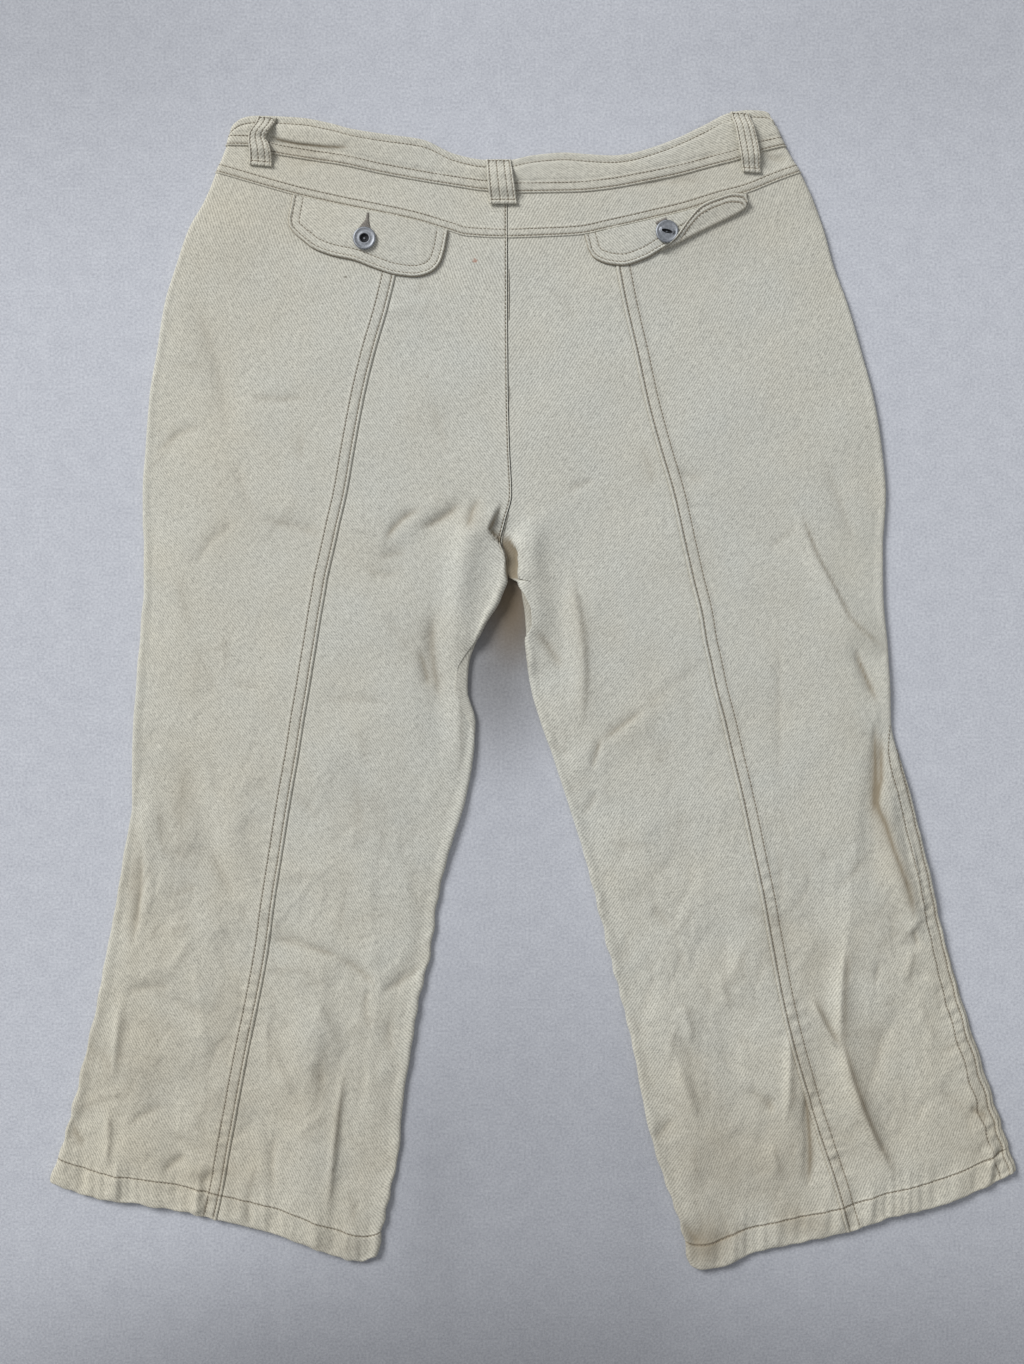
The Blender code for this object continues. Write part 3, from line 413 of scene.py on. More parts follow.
LOOP_COLUMNS = 61
LOOP_STITCHES = (-0.40, -0.10, 0.20, 0.41)  # across, in shares of the width

# Pocket flaps: their two sides, each from the yoke seam down, and their lower edges
FLAPS = {
    "left": ((((-180.5, 370), (-184, 352)), ((-64, 343), (-66.5, 329))),
             ((-184, 352), (-183.4, 347), (-180, 342), (-172, 335), (-165.5, 330),
              (-150, 324), (-136, 321), (-117, 314), (-104, 310), (-89.5, 308.5),
              (-77.5, 311.5), (-70, 319), (-66.5, 329))),
    "right": ((((38, 340), (41, 329)), ((160, 371), (160, 362))),
              ((41, 329), (45, 323), (57, 318), (66.5, 317), (83.5, 322), (96.5, 329.4),
               (113, 338.6), (131, 347.8), (147, 355.8), (160, 362.8))),
}
# The turned-up corner of the right flap: rows of (x and y on its fold, x and y on its free
# edge, rise of the free edge)
TURN_UP = ((96, 328.6, 97.5, 329.6, 0.6), (103, 332.4, 104.5, 335.8, 2.0),
           (110, 336.2, 109.5, 342.5, 2.6), (117, 339.8, 116.5, 352.2, 2.8),
           (126, 344.3, 126, 361.8, 2.6), (136, 349, 139, 367.3, 2.2),
           (146, 353.7, 149.5, 370.2, 1.8), (154, 357.9, 156.5, 369.6, 1.4),
           (159, 361.2, 160.5, 364.8, 1.0))
TURN_STITCHES = (2.6, 6.6)
BEND_ROWS = 14  # rows of points round its bend
BEND_RADIUS = 0.85
BEND_END = 0.15 * np.pi  # the bend's lean at its upper end
CORNER_COLUMNS, CORNER_ROWS = 90, 34
CORNER_WALL = 1.2
FLAP_SEAT = 0.6  # what a flap's face stands above the cloth, less its wall
FLAP_SINK = 0.3  # how much lower its underside is
FLAP_WALL = 1.3
FLAP_GRID = (132, 52)  # points across and down

# Buttons: rows of (radius, height above the seat), from the back round to the front
BUTTON_PROFILE = ((0.05, 0.0), (7.2, 0.0), (8.1, 0.3), (8.5, 0.8), (8.6, 1.3), (8.4, 1.8),
                  (7.9, 2.1), (7.4, 2.2), (7.1, 2.1), (6.8, 1.95), (4.8, 1.85), (4.4, 2.0),
                  (3.6, 1.95), (2.9, 1.7), (2.6, 1.0), (2.4, 0.5), (0.8, 0.45), (0.65, 0.8),
                  (0.4, 1.0), (0.05, 1.1))
# The hollow is painted black, as the shade of the button's hole.
HOLLOW_ROWS = (12, 16)  # the rows of the profile between which the metal is black
BUTTON_SIDES = 64
BUTTON_SEAT = 2.9  # from the cloth to the underside of a button
# rows of (node, x, y, length and width of the hollow as shares, its tilt)
BUTTONS = (("button_left", -126.4, 336.5, 1.0, 1.0, 0.0),
           ("button_right", 99.6, 341.6, 1.2, 0.42, -0.25))
# Buttonhole bars: rows of (x, y, width) of their two ends
BUTTONHOLES = (((-126.2, 343.4, 10.5), (-124.4, 350.6, 3.0)),
               ((-124.4, 350.6, 2.6), (-124.0, 355.6, 1.8)),
               ((91.5, 348.0, 2.4), (99, 351.4, 2.4)),
               ((113.0, 346.5, 3.2), (116.6, 350.0, 2.4)))
SATIN_PITCH = 0.55
SATIN_RADIUS = 0.4
# Points of the fine lines that are sewn: down a leg, along other seams, and down a loop
LEG_POINTS, SEAM_POINTS, LOOP_POINTS = 1200, 700, 120

# ---- Colours and grain -------------------------------------------------------------------
# Stains on the cloth: rows of (x, y, radius, colour)
MARKS = ((-44, 321, 2.4, "B07A66"), (-141, 309, 1.6, "6E6658"), (-80, 234, 1.5, "857B6B"),
         (-285, -316, 1.7, "6E6658"), (36, -33, 1.4, "857B6B"))
# Where the cream is warmer: rows of (axis, where it starts, where it is full, share)
WARMER = (("X", -110, -230, 0.18), ("Y", -90, -330, 0.22), ("X", 160, 240, 0.08),
          ("Y", 290, 380, 0.16))
# The threads are 0.5 mm apart; the diagonal is drawn as coarse as shows at this size.
TWILL_MM = 1.7
SLUB_MM = (1.2, 4.2)  # across and along a slub
# Painted shadows on the floor: beside and between the legs, in the slit at the fork, and
# towards the edges of the view: rows of (x, y, radius along x, radius along y, share, colour)
FLOOR_SHADOW_COLOUR = "2A2724"
PAINTED_FLOOR_SHADOWS = (
    (84, -350, 26, 120, 0.09, FLOOR_SHADOW_COLOUR), (-76, -385, 22, 70, 0.12, FLOOR_SHADOW_COLOUR),
    (20, 462, 230, 50, 0.05, FLOOR_SHADOW_COLOUR), (-20, -395, 140, 180, 0.30, FLOOR_SHADOW_COLOUR),
    (352, -500, 230, 150, 0.24, FLOOR_SHADOW_COLOUR), (-388, 515, 170, 130, 0.20, FLOOR_SHADOW_COLOUR),
    (352, 505, 170, 110, 0.12, FLOOR_SHADOW_COLOUR), (-388, -470, 140, 120, 0.06, FLOOR_SHADOW_COLOUR),
    (-40, -570, 440, 96, 0.50, FLOOR_SHADOW_COLOUR), (-215, -505, 95, 70, 0.14, FLOOR_SHADOW_COLOUR),
    (-20, 520, 400, 60, 0.05, FLOOR_SHADOW_COLOUR), (-25, -50, 60, 80, 0.10, FLOOR_SHADOW_COLOUR),
    # the slit at the fork, in brown painted shadow
    (-28, 24, 40, 60, 0.60, "4A4232"), (-18, 72, 20, 34, 0.85, "7A684C"),
    (-13, 54, 12, 26, 0.45, "6A5C46"),
)

# ---- Stage, in metres --------------------------------------------------------------------
CAMERA_AT = (-0.0162, 0.0051)
LENS, SENSOR = 35.0, 36.0
FLOOR_SIZE, FLOOR_Z = 12.0, -0.0002
ROOM_LIGHT = "F4F6FA"
# Lamps: rows of (the name of its power in the settings, place, width)
LAMPS = (("key", (-4.9, 4.3, 4.7), 3.4), ("fill", (3.0, -1.0, 4.0), 3.0))


# ---- Curves and small helpers ------------------------------------------------------------
def smooth(value):
    """0 below 0, 1 above 1, and an S curve between."""
    value = np.clip(value, 0.0, 1.0)
    return value * value * (3.0 - 2.0 * value)


def bell(distance, width):
    """1 at the middle, falling off as exp(-(distance / width) squared)."""
    return np.exp(-((distance / width) ** 2))


def curve(places, values, at):
    """A smooth curve through (place, value) points: on each span a cubic whose slope at a
    point is the harmonic mean of the slopes beside it, or level at a crest."""
    places, values = np.asarray(places, float), np.asarray(values, float)
    slope = np.diff(values) / np.diff(places)
    product = slope[1:] * slope[:-1]
    total = np.where(product > 0.0, slope[1:] + slope[:-1], 1.0)
    tangent = np.concatenate([slope[:1], 2.0 * np.clip(product, 0.0, None) / total, slope[-1:]])
    at = np.clip(at, places[0], places[-1])
    k = np.clip(np.searchsorted(places, at, side="right") - 1, 0, len(places) - 2)
    span = places[k + 1] - places[k]
    t = (at - places[k]) / span
    return ((1 + 2 * t) * (1 - t) ** 2 * values[k] + t * (1 - t) ** 2 * span * tangent[k]
            + t * t * (3 - 2 * t) * values[k + 1] - t * t * (1 - t) * span * tangent[k + 1])


def along(table, at):
    """A table of (place, value) rows read at other places on a smooth curve."""
    rows = np.array(sorted(table), float)
    return curve(rows[:, 0], rows[:, 1], at)


def straight(table, at):
    """A table of (place, value) rows read in straight steps."""
    rows = np.array(sorted(table), float)
    return np.interp(at, rows[:, 0], rows[:, 1])


def section(name, y):
    """x of an edge or a seam at height y."""
    rows = np.array(SECTIONS[::-1], float)
    return curve(rows[:, 0], rows[:, SECTION_COLUMNS.index(name)], y)


def path_lengths(line):
    """How far along a line of points each of them lies."""
    return np.append(0.0, np.cumsum(np.linalg.norm(np.diff(line, axis=0), axis=1)))


def follow(line, share):
    """Points of a smooth line at shares of its length in plan, from 0 to 1."""
    line = np.array(line, float)
    place = path_lengths(line[:, :2])
    return np.stack([curve(place, part, share * place[-1]) for part in line.T], axis=-1)


# ---- Height and creases ------------------------------------------------------------------
def across_line(x, y, row):
    """Distance to the left of a bowed line, and how far it shows: 1 along the line, falling in
    an S curve to 0 past its two ends."""
    x1, y1, x2, y2, bow = row[:5]
    length = np.hypot(x2 - x1, y2 - y1)
    ux, uy = (x2 - x1) / length, (y2 - y1) / length
    s = ((x - x1) * ux + (y - y1) * uy) / length
    across = (y - y1) * ux - (x - x1) * uy - 4.0 * bow * s * (1.0 - s)
    fade = smooth((s + 0.12) / 0.4) * smooth((1.12 - s) / 0.4)
    return across, fade


def fold_height(x, y):
    """Sum of the folds, each a bell across its line."""
    total = np.zeros(np.shape(x))
    for row in FOLDS:
        across, fade = across_line(x, y, row)
        width = np.where(across > 0.0, row[5], row[6])
        total += row[7] * fade * bell(across, width)
    return total


def top_height(x, y):
    """Height of the back layer's outer face, away from the turn of its edges."""
    crown = straight([(row[0], row[1]) for row in CROWN], y)
    near_edge = straight([(row[0], row[2]) for row in CROWN], y)
    middle = 0.5 * (section("inner_l", y) + section("inner_r", y))
    side = np.where(x < middle, x - section("side_l", y), section("side_r", y) - x)
    inner = np.where(x < middle, section("inner_l", y) - x, x - section("inner_r", y))
    inner = np.hypot(inner, np.clip(y - CROTCH_Y, 0.0, None))
    edge = np.clip(np.minimum(side, inner), 0.0, None)
    crown = near_edge + (crown - near_edge) * (1.0 - np.exp(-edge / CROWN_REACH))
    lowest = LOW_TOP + EDGE_LOW * bell(edge, 8.0)
    return np.maximum(crown + fold_height(x, y), lowest)


def crease_rows():
    """The creases listed, then small crinkles scattered over the cloth: more of them
    on the shins than on the seat, most of them running down the legs."""
    rng = np.random.default_rng(CRINKLE_SEED)
    rows = list(CREASES)
    while len(rows) < len(CREASES) + bpy.context.scene.capri_cloth.crinkles:
        x, y = rng.uniform(*CRINKLE_X), rng.uniform(*CRINKLE_Y)
        keep = 0.12 + 0.88 * smooth((20.0 - y) / 260.0)
        if rng.uniform() > keep:
            continue
        lean = rng.normal(0.0, 0.55) + (0.5 * np.pi if rng.uniform() < 0.25 else 0.0)
        length = rng.uniform(*CRINKLE_LENGTHS)
        dx, dy = np.sin(lean) * length, -np.cos(lean) * length
        width = rng.uniform(*CRINKLE_WIDTHS)
        height = rng.choice((-1.0, 1.0)) * rng.uniform(*CRINKLE_HEIGHTS) * (0.6 + 0.1 * keep)
        rows.append((x, y, x + dx, y + dy, rng.uniform(-0.08, 0.08) * length,
                     width * rng.uniform(0.7, 1.3), width * rng.uniform(0.7, 1.3), height,
                     0.35 * rng.uniform()))
    return rows


def beside(line, x, y):
    """Distance from a line of straight spans, positive to the left of its way, and how far
    along the line the nearest point lies, from 0 to 1."""
    line = np.array(line, float)
    way, place = np.diff(line, axis=0), path_lengths(line)
    length = np.hypot(way[:, 0], way[:, 1])
    dx, dy = x[..., None] - line[:-1, 0], y[..., None] - line[:-1, 1]
    share = np.clip((dx * way[:, 0] + dy * way[:, 1]) / length ** 2, 0.0, 1.0)
    dx, dy = dx - share * way[:, 0], dy - share * way[:, 1]
    distance = np.hypot(dx, dy)
    side = np.where(way[:, 0] * dy - way[:, 1] * dx < 0.0, -1.0, 1.0)
    nearest = distance.argmin(axis=-1)[..., None]
    signed = np.take_along_axis(side * distance, nearest, -1)[..., 0]
    where = np.take_along_axis((place[:-1] + share * length) / place[-1], nearest, -1)[..., 0]
    return signed, where


def ledge_relief(x, y):
    """Height of the ledges, and the shade painted along their low side: an S-shaped step that
    levels out as exp(-d / length).
    """
    height, shade_wear = np.zeros(np.shape(x)), np.zeros(np.shape(x))
    for high, length, worn, width, line in LEDGES:
        off, where = beside(line, x, y)
        fade = smooth(where / 0.14) * smooth((1.0 - where) / 0.14)
        step = smooth((off + 0.4) / 1.8) * np.exp(-np.clip(off, 0.0, None) / length)
        height += high * fade * (step - 0.1 * bell(off + 2.0, 2.0))
        # painted shade along the low side of the step
        shade_wear += worn * fade * np.exp(-np.abs(off + 0.6 * width) / width)
    return height, shade_wear


def patch_shade_and_wear(x, y):
    """Painted shade and wear of the darker patches, of the shins, darker towards the hems where
    the light falls off, and of the valley above the fork between the first two ledges, which
    gets no light."""
    left, right = (beside(row[-1], x, y)[0] for row in LEDGES[:2])
    valley = smooth(0.5 - left) * smooth(0.5 - right) * smooth((120.0 - y) / 12.0)
    valley = valley * smooth((y - 66.0) / 12.0)
    # painted shade: darker towards the hems, and dark in the valley above the fork
    total = 0.06 * smooth((-170.0 - y) / 150.0) + 1.5 * valley
    for px, py, across, down, worn in PATCHES:
        total = total + worn * np.exp(-((x - px) / across) ** 2 - ((y - py) / down) ** 2)
    return total


def crease_relief(x, y):
    """Height of the creases, with their painted shade and wear. Each is exp(-d / width) across
    its line, with d the distance rounded off near the crest, so that it is sharp and its
    flanks are hollow."""
    height, shade_wear = np.zeros(np.shape(x)), np.zeros(np.shape(x))
    for row in crease_rows():
        x1, y1, x2, y2, _, left, right, high, worn = row
        across, fade = across_line(x, y, row)
        width = np.where(across > 0.0, left, right)
        distance = np.sqrt(across * across + CREST * CREST) - CREST
        height += high * fade * np.exp(-distance / width)
        # painted shade: on a ridge's side away from the light, and along the line of a trough
        facing = (y1 - y2) * SHADE_WAY[0] + (x2 - x1) * SHADE_WAY[1]
        middle = 0.0 if high < 0.0 else 0.8 * np.sign(facing) * (left if facing > 0 else right)
        shade_wear += worn * fade * np.exp(-np.abs(across - middle) / (0.5 * width + 0.6))
    return height, shade_wear


def lattice_noise(x, y, seed):
    """Smooth noise between about -1 and 1: every corner of a unit lattice has a slope of its
    own, and the four slopes round a point are blended with an S curve."""
    angle = np.random.default_rng(seed).uniform(0.0, 2.0 * np.pi, (LATTICE, LATTICE))
    i, j = np.floor(x).astype(int), np.floor(y).astype(int)
    u, v = x - i, y - j
    total = np.zeros(np.shape(x))
    for a, across in ((0, 1.0 - smooth(u)), (1, smooth(u))):
        for b, down in ((0, 1.0 - smooth(v)), (1, smooth(v))):
            lean = angle[(i + a) % LATTICE, (j + b) % LATTICE]
            total += (np.cos(lean) * (u - a) + np.sin(lean) * (v - b)) * across * down
    return 1.5 * total


def crumple(x, y):
    """Rumples of worn linen: sharp crests exp(-RUMPLE_CREST |n|) along the lines where a
    warped noise n is 0, up or down by the sign of a second noise, at three sizes. They grow
    down the legs."""
    warp_x = x + RUMPLE_WARP * lattice_noise(x / 55.0, y / 70.0, 1)
    warp_y = y + RUMPLE_WARP * lattice_noise(x / 60.0 + 9.0, y / 55.0, 2)
    total = np.zeros(np.shape(x))
    for seed, (across, down, high) in enumerate(RUMPLES):
        line = lattice_noise(warp_x / across, warp_y / down, 20 + seed)
        way = lattice_noise(warp_x / (1.7 * across), warp_y / (1.7 * down), 40 + seed)
        crest = np.exp(-RUMPLE_CREST * np.abs(line))
        total += high * crest * np.clip(2.6 * way, -1.0, 1.0)
    return total * (0.10 + 0.90 * smooth((90.0 - y) / 300.0))


def swell(x, y):
    """Broad unevenness of cloth that has been washed: a few long waves in fixed directions
    that add up to about a millimetre."""
    rng = np.random.default_rng(SWELL_SEED)
    total = np.zeros(np.shape(x))
    for _ in range(SWELL_COUNT):
        angle, wave = rng.uniform(0, np.pi), rng.uniform(*SWELL_WAVES)
        start = rng.uniform(0, 6.3)
        total += np.sin(2 * np.pi * (x * np.cos(angle) + y * np.sin(angle)) / wave + start)
    return SWELL_HEIGHT * total


def cloth_relief(x, y):
    """Height of the back layer's cloth, with its painted shade and wear: creases, ledges,
    rumples and swell, with the darker patches, and painted shade in the hollows of the rumples."""
    height, shade_wear = crease_relief(x, y)
    step, shade = ledge_relief(x, y)
    rumple = crumple(x, y)
    height = RELIEF * (1.0 + SHIN_RELIEF * smooth((-60.0 - y) / 120.0)) * height
    # the hollows of the rumples get painted shade
    return (height + swell(x, y) + rumple + step,
            shade_wear + shade + patch_shade_and_wear(x, y) + 0.3 * np.clip(-rumple, 0.0, 1.0))


def uneven_wave(place, wave, seed):
    """A wave along a seam whose length and depth keep changing."""
    turn = place / wave + 0.35 * np.sin(place / (2.7 * wave) + seed)
    turn = turn + 0.25 * np.sin(place / (1.13 * wave) + 2.0 * seed)
    depth = 0.62 + 0.38 * np.sin(place / (1.9 * wave) + 3.0 * seed)
    return np.sin(2.0 * np.pi * turn) * depth


# ---- Seams -------------------------------------------------------------------------------
def seam_rise(edge, stitches):
    """Rise of a felled seam at a distance from its folded edge: a plateau under the second
    row of stitches, a cord along the edge, and a groove under each row of stitches."""
    first, second = stitches
    plateau = 0.5 * (1.0 - smooth((edge - second - 0.5) / 1.8))
    cord = 0.42 * bell(edge - 0.5 * first, 0.42 * first)
    grooves = -0.6 * bell(edge - first, 0.6) - 0.42 * bell(edge - second, 0.55)
    rounding = -0.55 * bell(edge, 0.4)
    return plateau + cord + grooves + rounding


def seam_shade(edge, stitches):
    """Painted shade and grey of a felled seam: at its folded edge, where shadow falls, and in
    the grooves under its rows of stitches.
    """
    first, second = stitches
    return (0.4 * bell(edge, 0.35) + 0.7 * bell(edge - first, 0.6)
            + 0.45 * bell(edge - second, 0.6) + 0.09 * smooth(1.0 - (edge - second) / 3.0))


def felled_rise(edge, place, strength, stitches, seed):
    """Rise of a felled seam with its puckers, deepest between its rows of stitches."""
    window = bell(edge - 0.5 * (stitches[0] + stitches[1]), 3.4) + 0.5 * bell(edge - 14.0, 4.0)
    return seam_rise(edge, stitches) + strength * window * uneven_wave(place, PUCKER_WAVE, seed)


def down_leg(y):
    """0 above the crotch, rising to 1 on the shins, where the seams pucker most."""
    return smooth((60.0 - y) / 330.0)


def leg_seam_rise(edge, y, seed):
    """Rise of a felled seam down a leg."""
    return felled_rise(edge, y, 0.16 + 0.95 * down_leg(y), FELLED, seed)


def centre_fold(half, from_end):
    """Rise, and painted shade and wear, at the centre back: the left half is folded and corded
    along its row of stitches, and the right half sinks under it."""
    if half == "right":
        return -0.45 * (1.0 - smooth(from_end / 1.6)), 0.0 * from_end
    stitched = bell(from_end - FIRST_STITCH, 0.5)
    return (0.5 * bell(from_end - 1.4, 1.2) - 0.45 * stitched,
            0.7 * bell(from_end, 0.35) + 0.5 * stitched)


def hem_rise(edge, place, waves):
    """Rise of a hem at a distance from its edge: a band two layers thicker, a groove under its
    stitches, and waves that stand across the band and die out up the leg."""
    band = 0.6 * (1.0 - smooth((edge - HEM_STITCH - 0.6) / 1.6))
    groove = -0.75 * bell(edge - HEM_STITCH, 0.7) - 0.5 * bell(edge, 0.6)
    wave = sum(1.6 * high * bell(place - x - 0.12 * edge, width) for x, width, high in waves)
    wave = wave + 0.45 * uneven_wave(place, 8.3, 1.0)
    return band + groove + wave * (0.35 + 0.65 * smooth(edge / 4.0)) * bell(
        np.clip(edge - 12.0, 0.0, None), 16.0)


# ---- Legs --------------------------------------------------------------------------------
class Leg:
    """One half of the garment as a flattened tube, from the waist edge to the hem."""

    STEP_Q, STEP_V = 0.04, 0.0004  # short steps along and down the cloth, for its normals

    def __init__(self, half):
        self.half = half
        self.gap = -HALF_GAP if half == "left" else HALF_GAP
        self.names = [part + half[0] for part in ("side_", "inner_", "seam_")]
        self.ends = ROW_ENDS[half]
        self.drop = self.ends["inner"][2] - self.ends["inner"][3]  # from yoke seam to hem
        self.lines = (BAND_TOP, BAND_SEAM, YOKE_SEAM, HEMS[half])
        self.facing = 1.0 if half == "left" else -1.0

    def row_ends(self, v):
        """x and y of a row's two ends: on the side edge and on the inner edge."""
        side_y = np.interp(v, (0, 1, 2, 3), self.ends["side"])
        inner_y = np.interp(v, (0, 1, 2, 3), self.ends["inner"])
        inner_x = section(self.names[1], inner_y) + self.gap
        side_x = section(self.names[0], side_y) + self.wobble(side_y, 1.0)
        return side_x, side_y, inner_x + self.wobble(inner_y, 2.0), inner_y

    @staticmethod
    def wobble(y, seed):
        """Small bumps of a shin's outline."""
        return 0.75 * uneven_wave(y, 21.0, seed) * smooth((-60.0 - y) / 150.0)

    def bow(self, line, t):
        """How far seam number `line` stands above the straight row between its ends."""
        side_x, side_y, inner_x, inner_y = self.row_ends(float(line))
        x = side_x + (inner_x - side_x) * t
        return along(self.lines[line], x) - (side_y + (inner_y - side_y) * t)

    def plan(self, t, v):
        """x and y at the fraction t of row v: straight between the row's ends, plus the bow
        of the seams above and below, faded along the leg."""
        side_x, side_y, inner_x, inner_y = self.row_ends(v)
        above = np.clip(np.floor(v), 0, 2)
        share = v - above
        y = side_y + (inner_y - side_y) * t
        for line in range(3):
            here = above == line
            y = y + here * ((1.0 - share) * self.bow(line, t) + share * self.bow(line + 1, t))
        return side_x + (inner_x - side_x) * t, y

    def settled(self, q, v):
        """Rows near the hem pushed up unevenly, so that its edge isn't a ruled line."""
        x = self.plan(self.share(q, v), v)[0]
        push = 0.5 * (1.0 + uneven_wave(x, 15.0, 4.0)) + 0.3 * (1.0 + uneven_wave(x, 41.0, 2.0))
        return v - push * bell((3.0 - v) * self.drop, 12.0) / self.drop

    def width(self, v):
        """Straight length of row v."""
        side_x, side_y, inner_x, inner_y = self.row_ends(v)
        return np.hypot(inner_x - side_x, inner_y - side_y)

    def length(self, v):
        """Length of cloth in row v from the side edge over the top to the inner edge."""
        return self.width(v) + 2.0 * (EDGE_PATH - EDGE_REACH)

    def path_of(self, distance):
        """Path from an edge to the point that lies `distance` in from it."""
        turn = np.clip(distance / EDGE_REACH, 0.0, 1.0)
        in_turn = np.arccos(1.0 - turn) * EDGE_PATH / (0.5 * np.pi)
        return np.where(distance < EDGE_REACH, in_turn, distance + EDGE_PATH - EDGE_REACH)

    def distance_of(self, path):
        """The way back from path_of."""
        angle = np.clip(path / EDGE_PATH, 0.0, 1.0) * 0.5 * np.pi
        return np.where(path < EDGE_PATH, EDGE_REACH * (1.0 - np.cos(angle)),
                        path - EDGE_PATH + EDGE_REACH)

    def share(self, q, v):
        """Fraction of row v at path q, on either layer."""
        length, width = self.length(v), self.width(v)
        q = np.abs(q)
        q = np.where(q > length, 2.0 * length - q, q)
        from_side = np.where(q < 0.5 * length, self.distance_of(q),
                             width - self.distance_of(length - q))
        return from_side / width

    def seam_path(self, v):
        """Path of the back leg seam at row v."""
        t = np.full_like(v, 0.5)
        for _ in range(6):
            y = self.plan(t, v)[1]
            side_x, _, inner_x, _ = self.row_ends(v)
            t = (section(self.names[2], y) - side_x) / (inner_x - side_x)
        return self.path_of(t * self.width(v))

    def back_ends(self, v):
        """Paths at which the back layer's cloth ends, at the side and at the inner edge."""
        _, side_y, _, inner_y = self.row_ends(v)
        side = straight(SIDE_ENDS[self.half], side_y)
        return side, self.length(v) - straight(INSEAM_ENDS[self.half], inner_y)

    def depth(self, q, line):
        """Millimetres of cloth between seam number line - 1 and seam number line."""
        x1, y1 = self.plan(self.share(q, float(line)), np.full_like(q, line))
        x0, y0 = self.plan(self.share(q, float(line)), np.full_like(q, line - 1.0))
        return np.hypot(x1 - x0, y1 - y0)

    def surface(self, q, v):
        """Outer face at path q of row v, as an array of (x, y, z)."""
        length = self.length(v)
        top = (q >= 0.0) != (np.abs(q) > length)
        t = self.share(q, v)
        x, y = self.plan(t, v)
        from_side, from_inner = t * self.width(v), (1.0 - t) * self.width(v)
        above_crotch = np.clip(self.row_ends(v)[3] - CROTCH_Y, 0.0, None)
        turn = self.turn(from_side) * self.turn(np.hypot(from_inner, above_crotch))
        z_top = EDGE_LEVEL + (top_height(x, y) - EDGE_LEVEL) * turn
        return np.stack([x, y, np.where(top, z_top, EDGE_LEVEL * (1.0 - turn))], axis=-1)

    @staticmethod
    def turn(distance):
        """Height share of a quarter round at a distance from its edge."""
        rest = 1.0 - np.clip(distance / EDGE_REACH, 0.0, 1.0)
        return np.sqrt(1.0 - rest * rest)

    def on_cloth(self, q, v, rise):
        """Points raised along the cloth's outward normals by the creases and `rise`, with the
        normals, and the painted shade and wear of the cloth there. A normal is the cross product
        of two short steps. The back layer is kept above the front layer, and both above the
        floor."""
        v = self.settled(q, v)
        points = self.surface(q, v)
        across = self.surface(q + self.STEP_Q, v) - self.surface(q - self.STEP_Q, v)
        down = self.surface(q, v + self.STEP_V) - self.surface(q, v - self.STEP_V)
        normal = -self.facing * np.cross(across, down)
        normal /= np.linalg.norm(normal, axis=-1, keepdims=True)
        height, shade_wear = cloth_relief(points[..., 0], points[..., 1])
        length = self.length(v)
        on_top = (q > 0.0) & (q < length)
        at_centre = (self.row_ends(v)[3] > CROTCH_Y) & (q > 0.5 * length)
        from_edge = np.minimum(q, length - q) + 100.0 * at_centre
        raised = np.where(on_top, height, 0.0) * smooth(0.3 + from_edge / 6.0) + rise
        least = np.where(on_top & (from_edge > EDGE_PATH), LOWEST_BACK - points[..., 2], raised)
        to_floor = points[..., 2] / np.clip(-normal[..., 2], 0.001, None)
        raised = np.minimum(np.maximum(raised, least), to_floor)
        return points + normal * raised[..., None], normal, shade_wear * on_top


# ---- Meshes ------------------------------------------------------------------------------
def mesh_object(name, points, faces, uv=None, worn=None):
    """Object from points in millimetres and faces of one size, turned so that they point
    out: the sign of the volume, summed over the faces' fans, tells."""
    points = np.asarray(points, float)
    first = points[faces[:, 0]]
    volume = sum(np.einsum("ij,ij->i", first, np.cross(points[faces[:, k]],
                                                       points[faces[:, k + 1]])).sum()
                 for k in range(1, faces.shape[1] - 1))
    if volume < 0.0:
        faces = faces[:, ::-1]
    mesh = bpy.data.meshes.new(name)
    mesh.vertices.add(len(points))
    mesh.vertices.foreach_set("co", (points * MM).astype(np.float32).ravel())
    mesh.loops.add(faces.size)
    mesh.loops.foreach_set("vertex_index", faces.astype(np.int32).ravel())
    mesh.polygons.add(len(faces))
    mesh.polygons.foreach_set("loop_start", np.arange(0, faces.size, faces.shape[1],
                                                      dtype=np.int32))
    mesh.update(calc_edges=True)
    if uv is not None:
        layer = mesh.uv_layers.new(name="cloth")
        layer.data.foreach_set("uv", (uv[faces.ravel()] * MM).astype(np.float32).ravel())
    if worn is not None:
        attribute = mesh.attributes.new("worn", "FLOAT", "POINT")
        attribute.data.foreach_set("value", worn.astype(np.float32))
    mesh.shade_smooth()
    piece = bpy.data.objects.new(name, mesh)
    bpy.context.scene.collection.objects.link(piece)
    return piece


def sheet_faces(rows, columns):
    """Quads of a closed sheet made of an upper and a lower grid, joined round the rim."""
    index = np.arange(rows * columns).reshape(rows, columns)
    quads = np.stack([index[:-1, :-1], index[:-1, 1:], index[1:, 1:], index[1:, :-1]], axis=-1)
    quads = quads.reshape(-1, 4)
    other = quads[:, ::-1] + rows * columns
    rim = np.concatenate([index[0, :-1], index[:-1, -1], index[-1, :0:-1], index[:0:-1, 0]])
    after = np.roll(rim, -1)
    strip = np.stack([after, rim, rim + rows * columns, after + rows * columns], axis=-1)
    return np.concatenate([quads, other, strip])


def sheet_object(name, upper, lower, uv, worn):
    """Closed sheet from two grids of points, with its cloth coordinates, painted shade and wear.
    """
    faces = sheet_faces(*upper.shape[:2])
    points = np.concatenate([upper.reshape(-1, 3), lower.reshape(-1, 3)])
    uv = np.tile(np.asarray(uv, float).reshape(-1, 2), (2, 1))
    worn = np.tile(np.clip(np.asarray(worn, float).ravel(), 0.0, MOST_SHADE_AND_WEAR), 2)
    return mesh_object(name, points, faces, uv, worn)


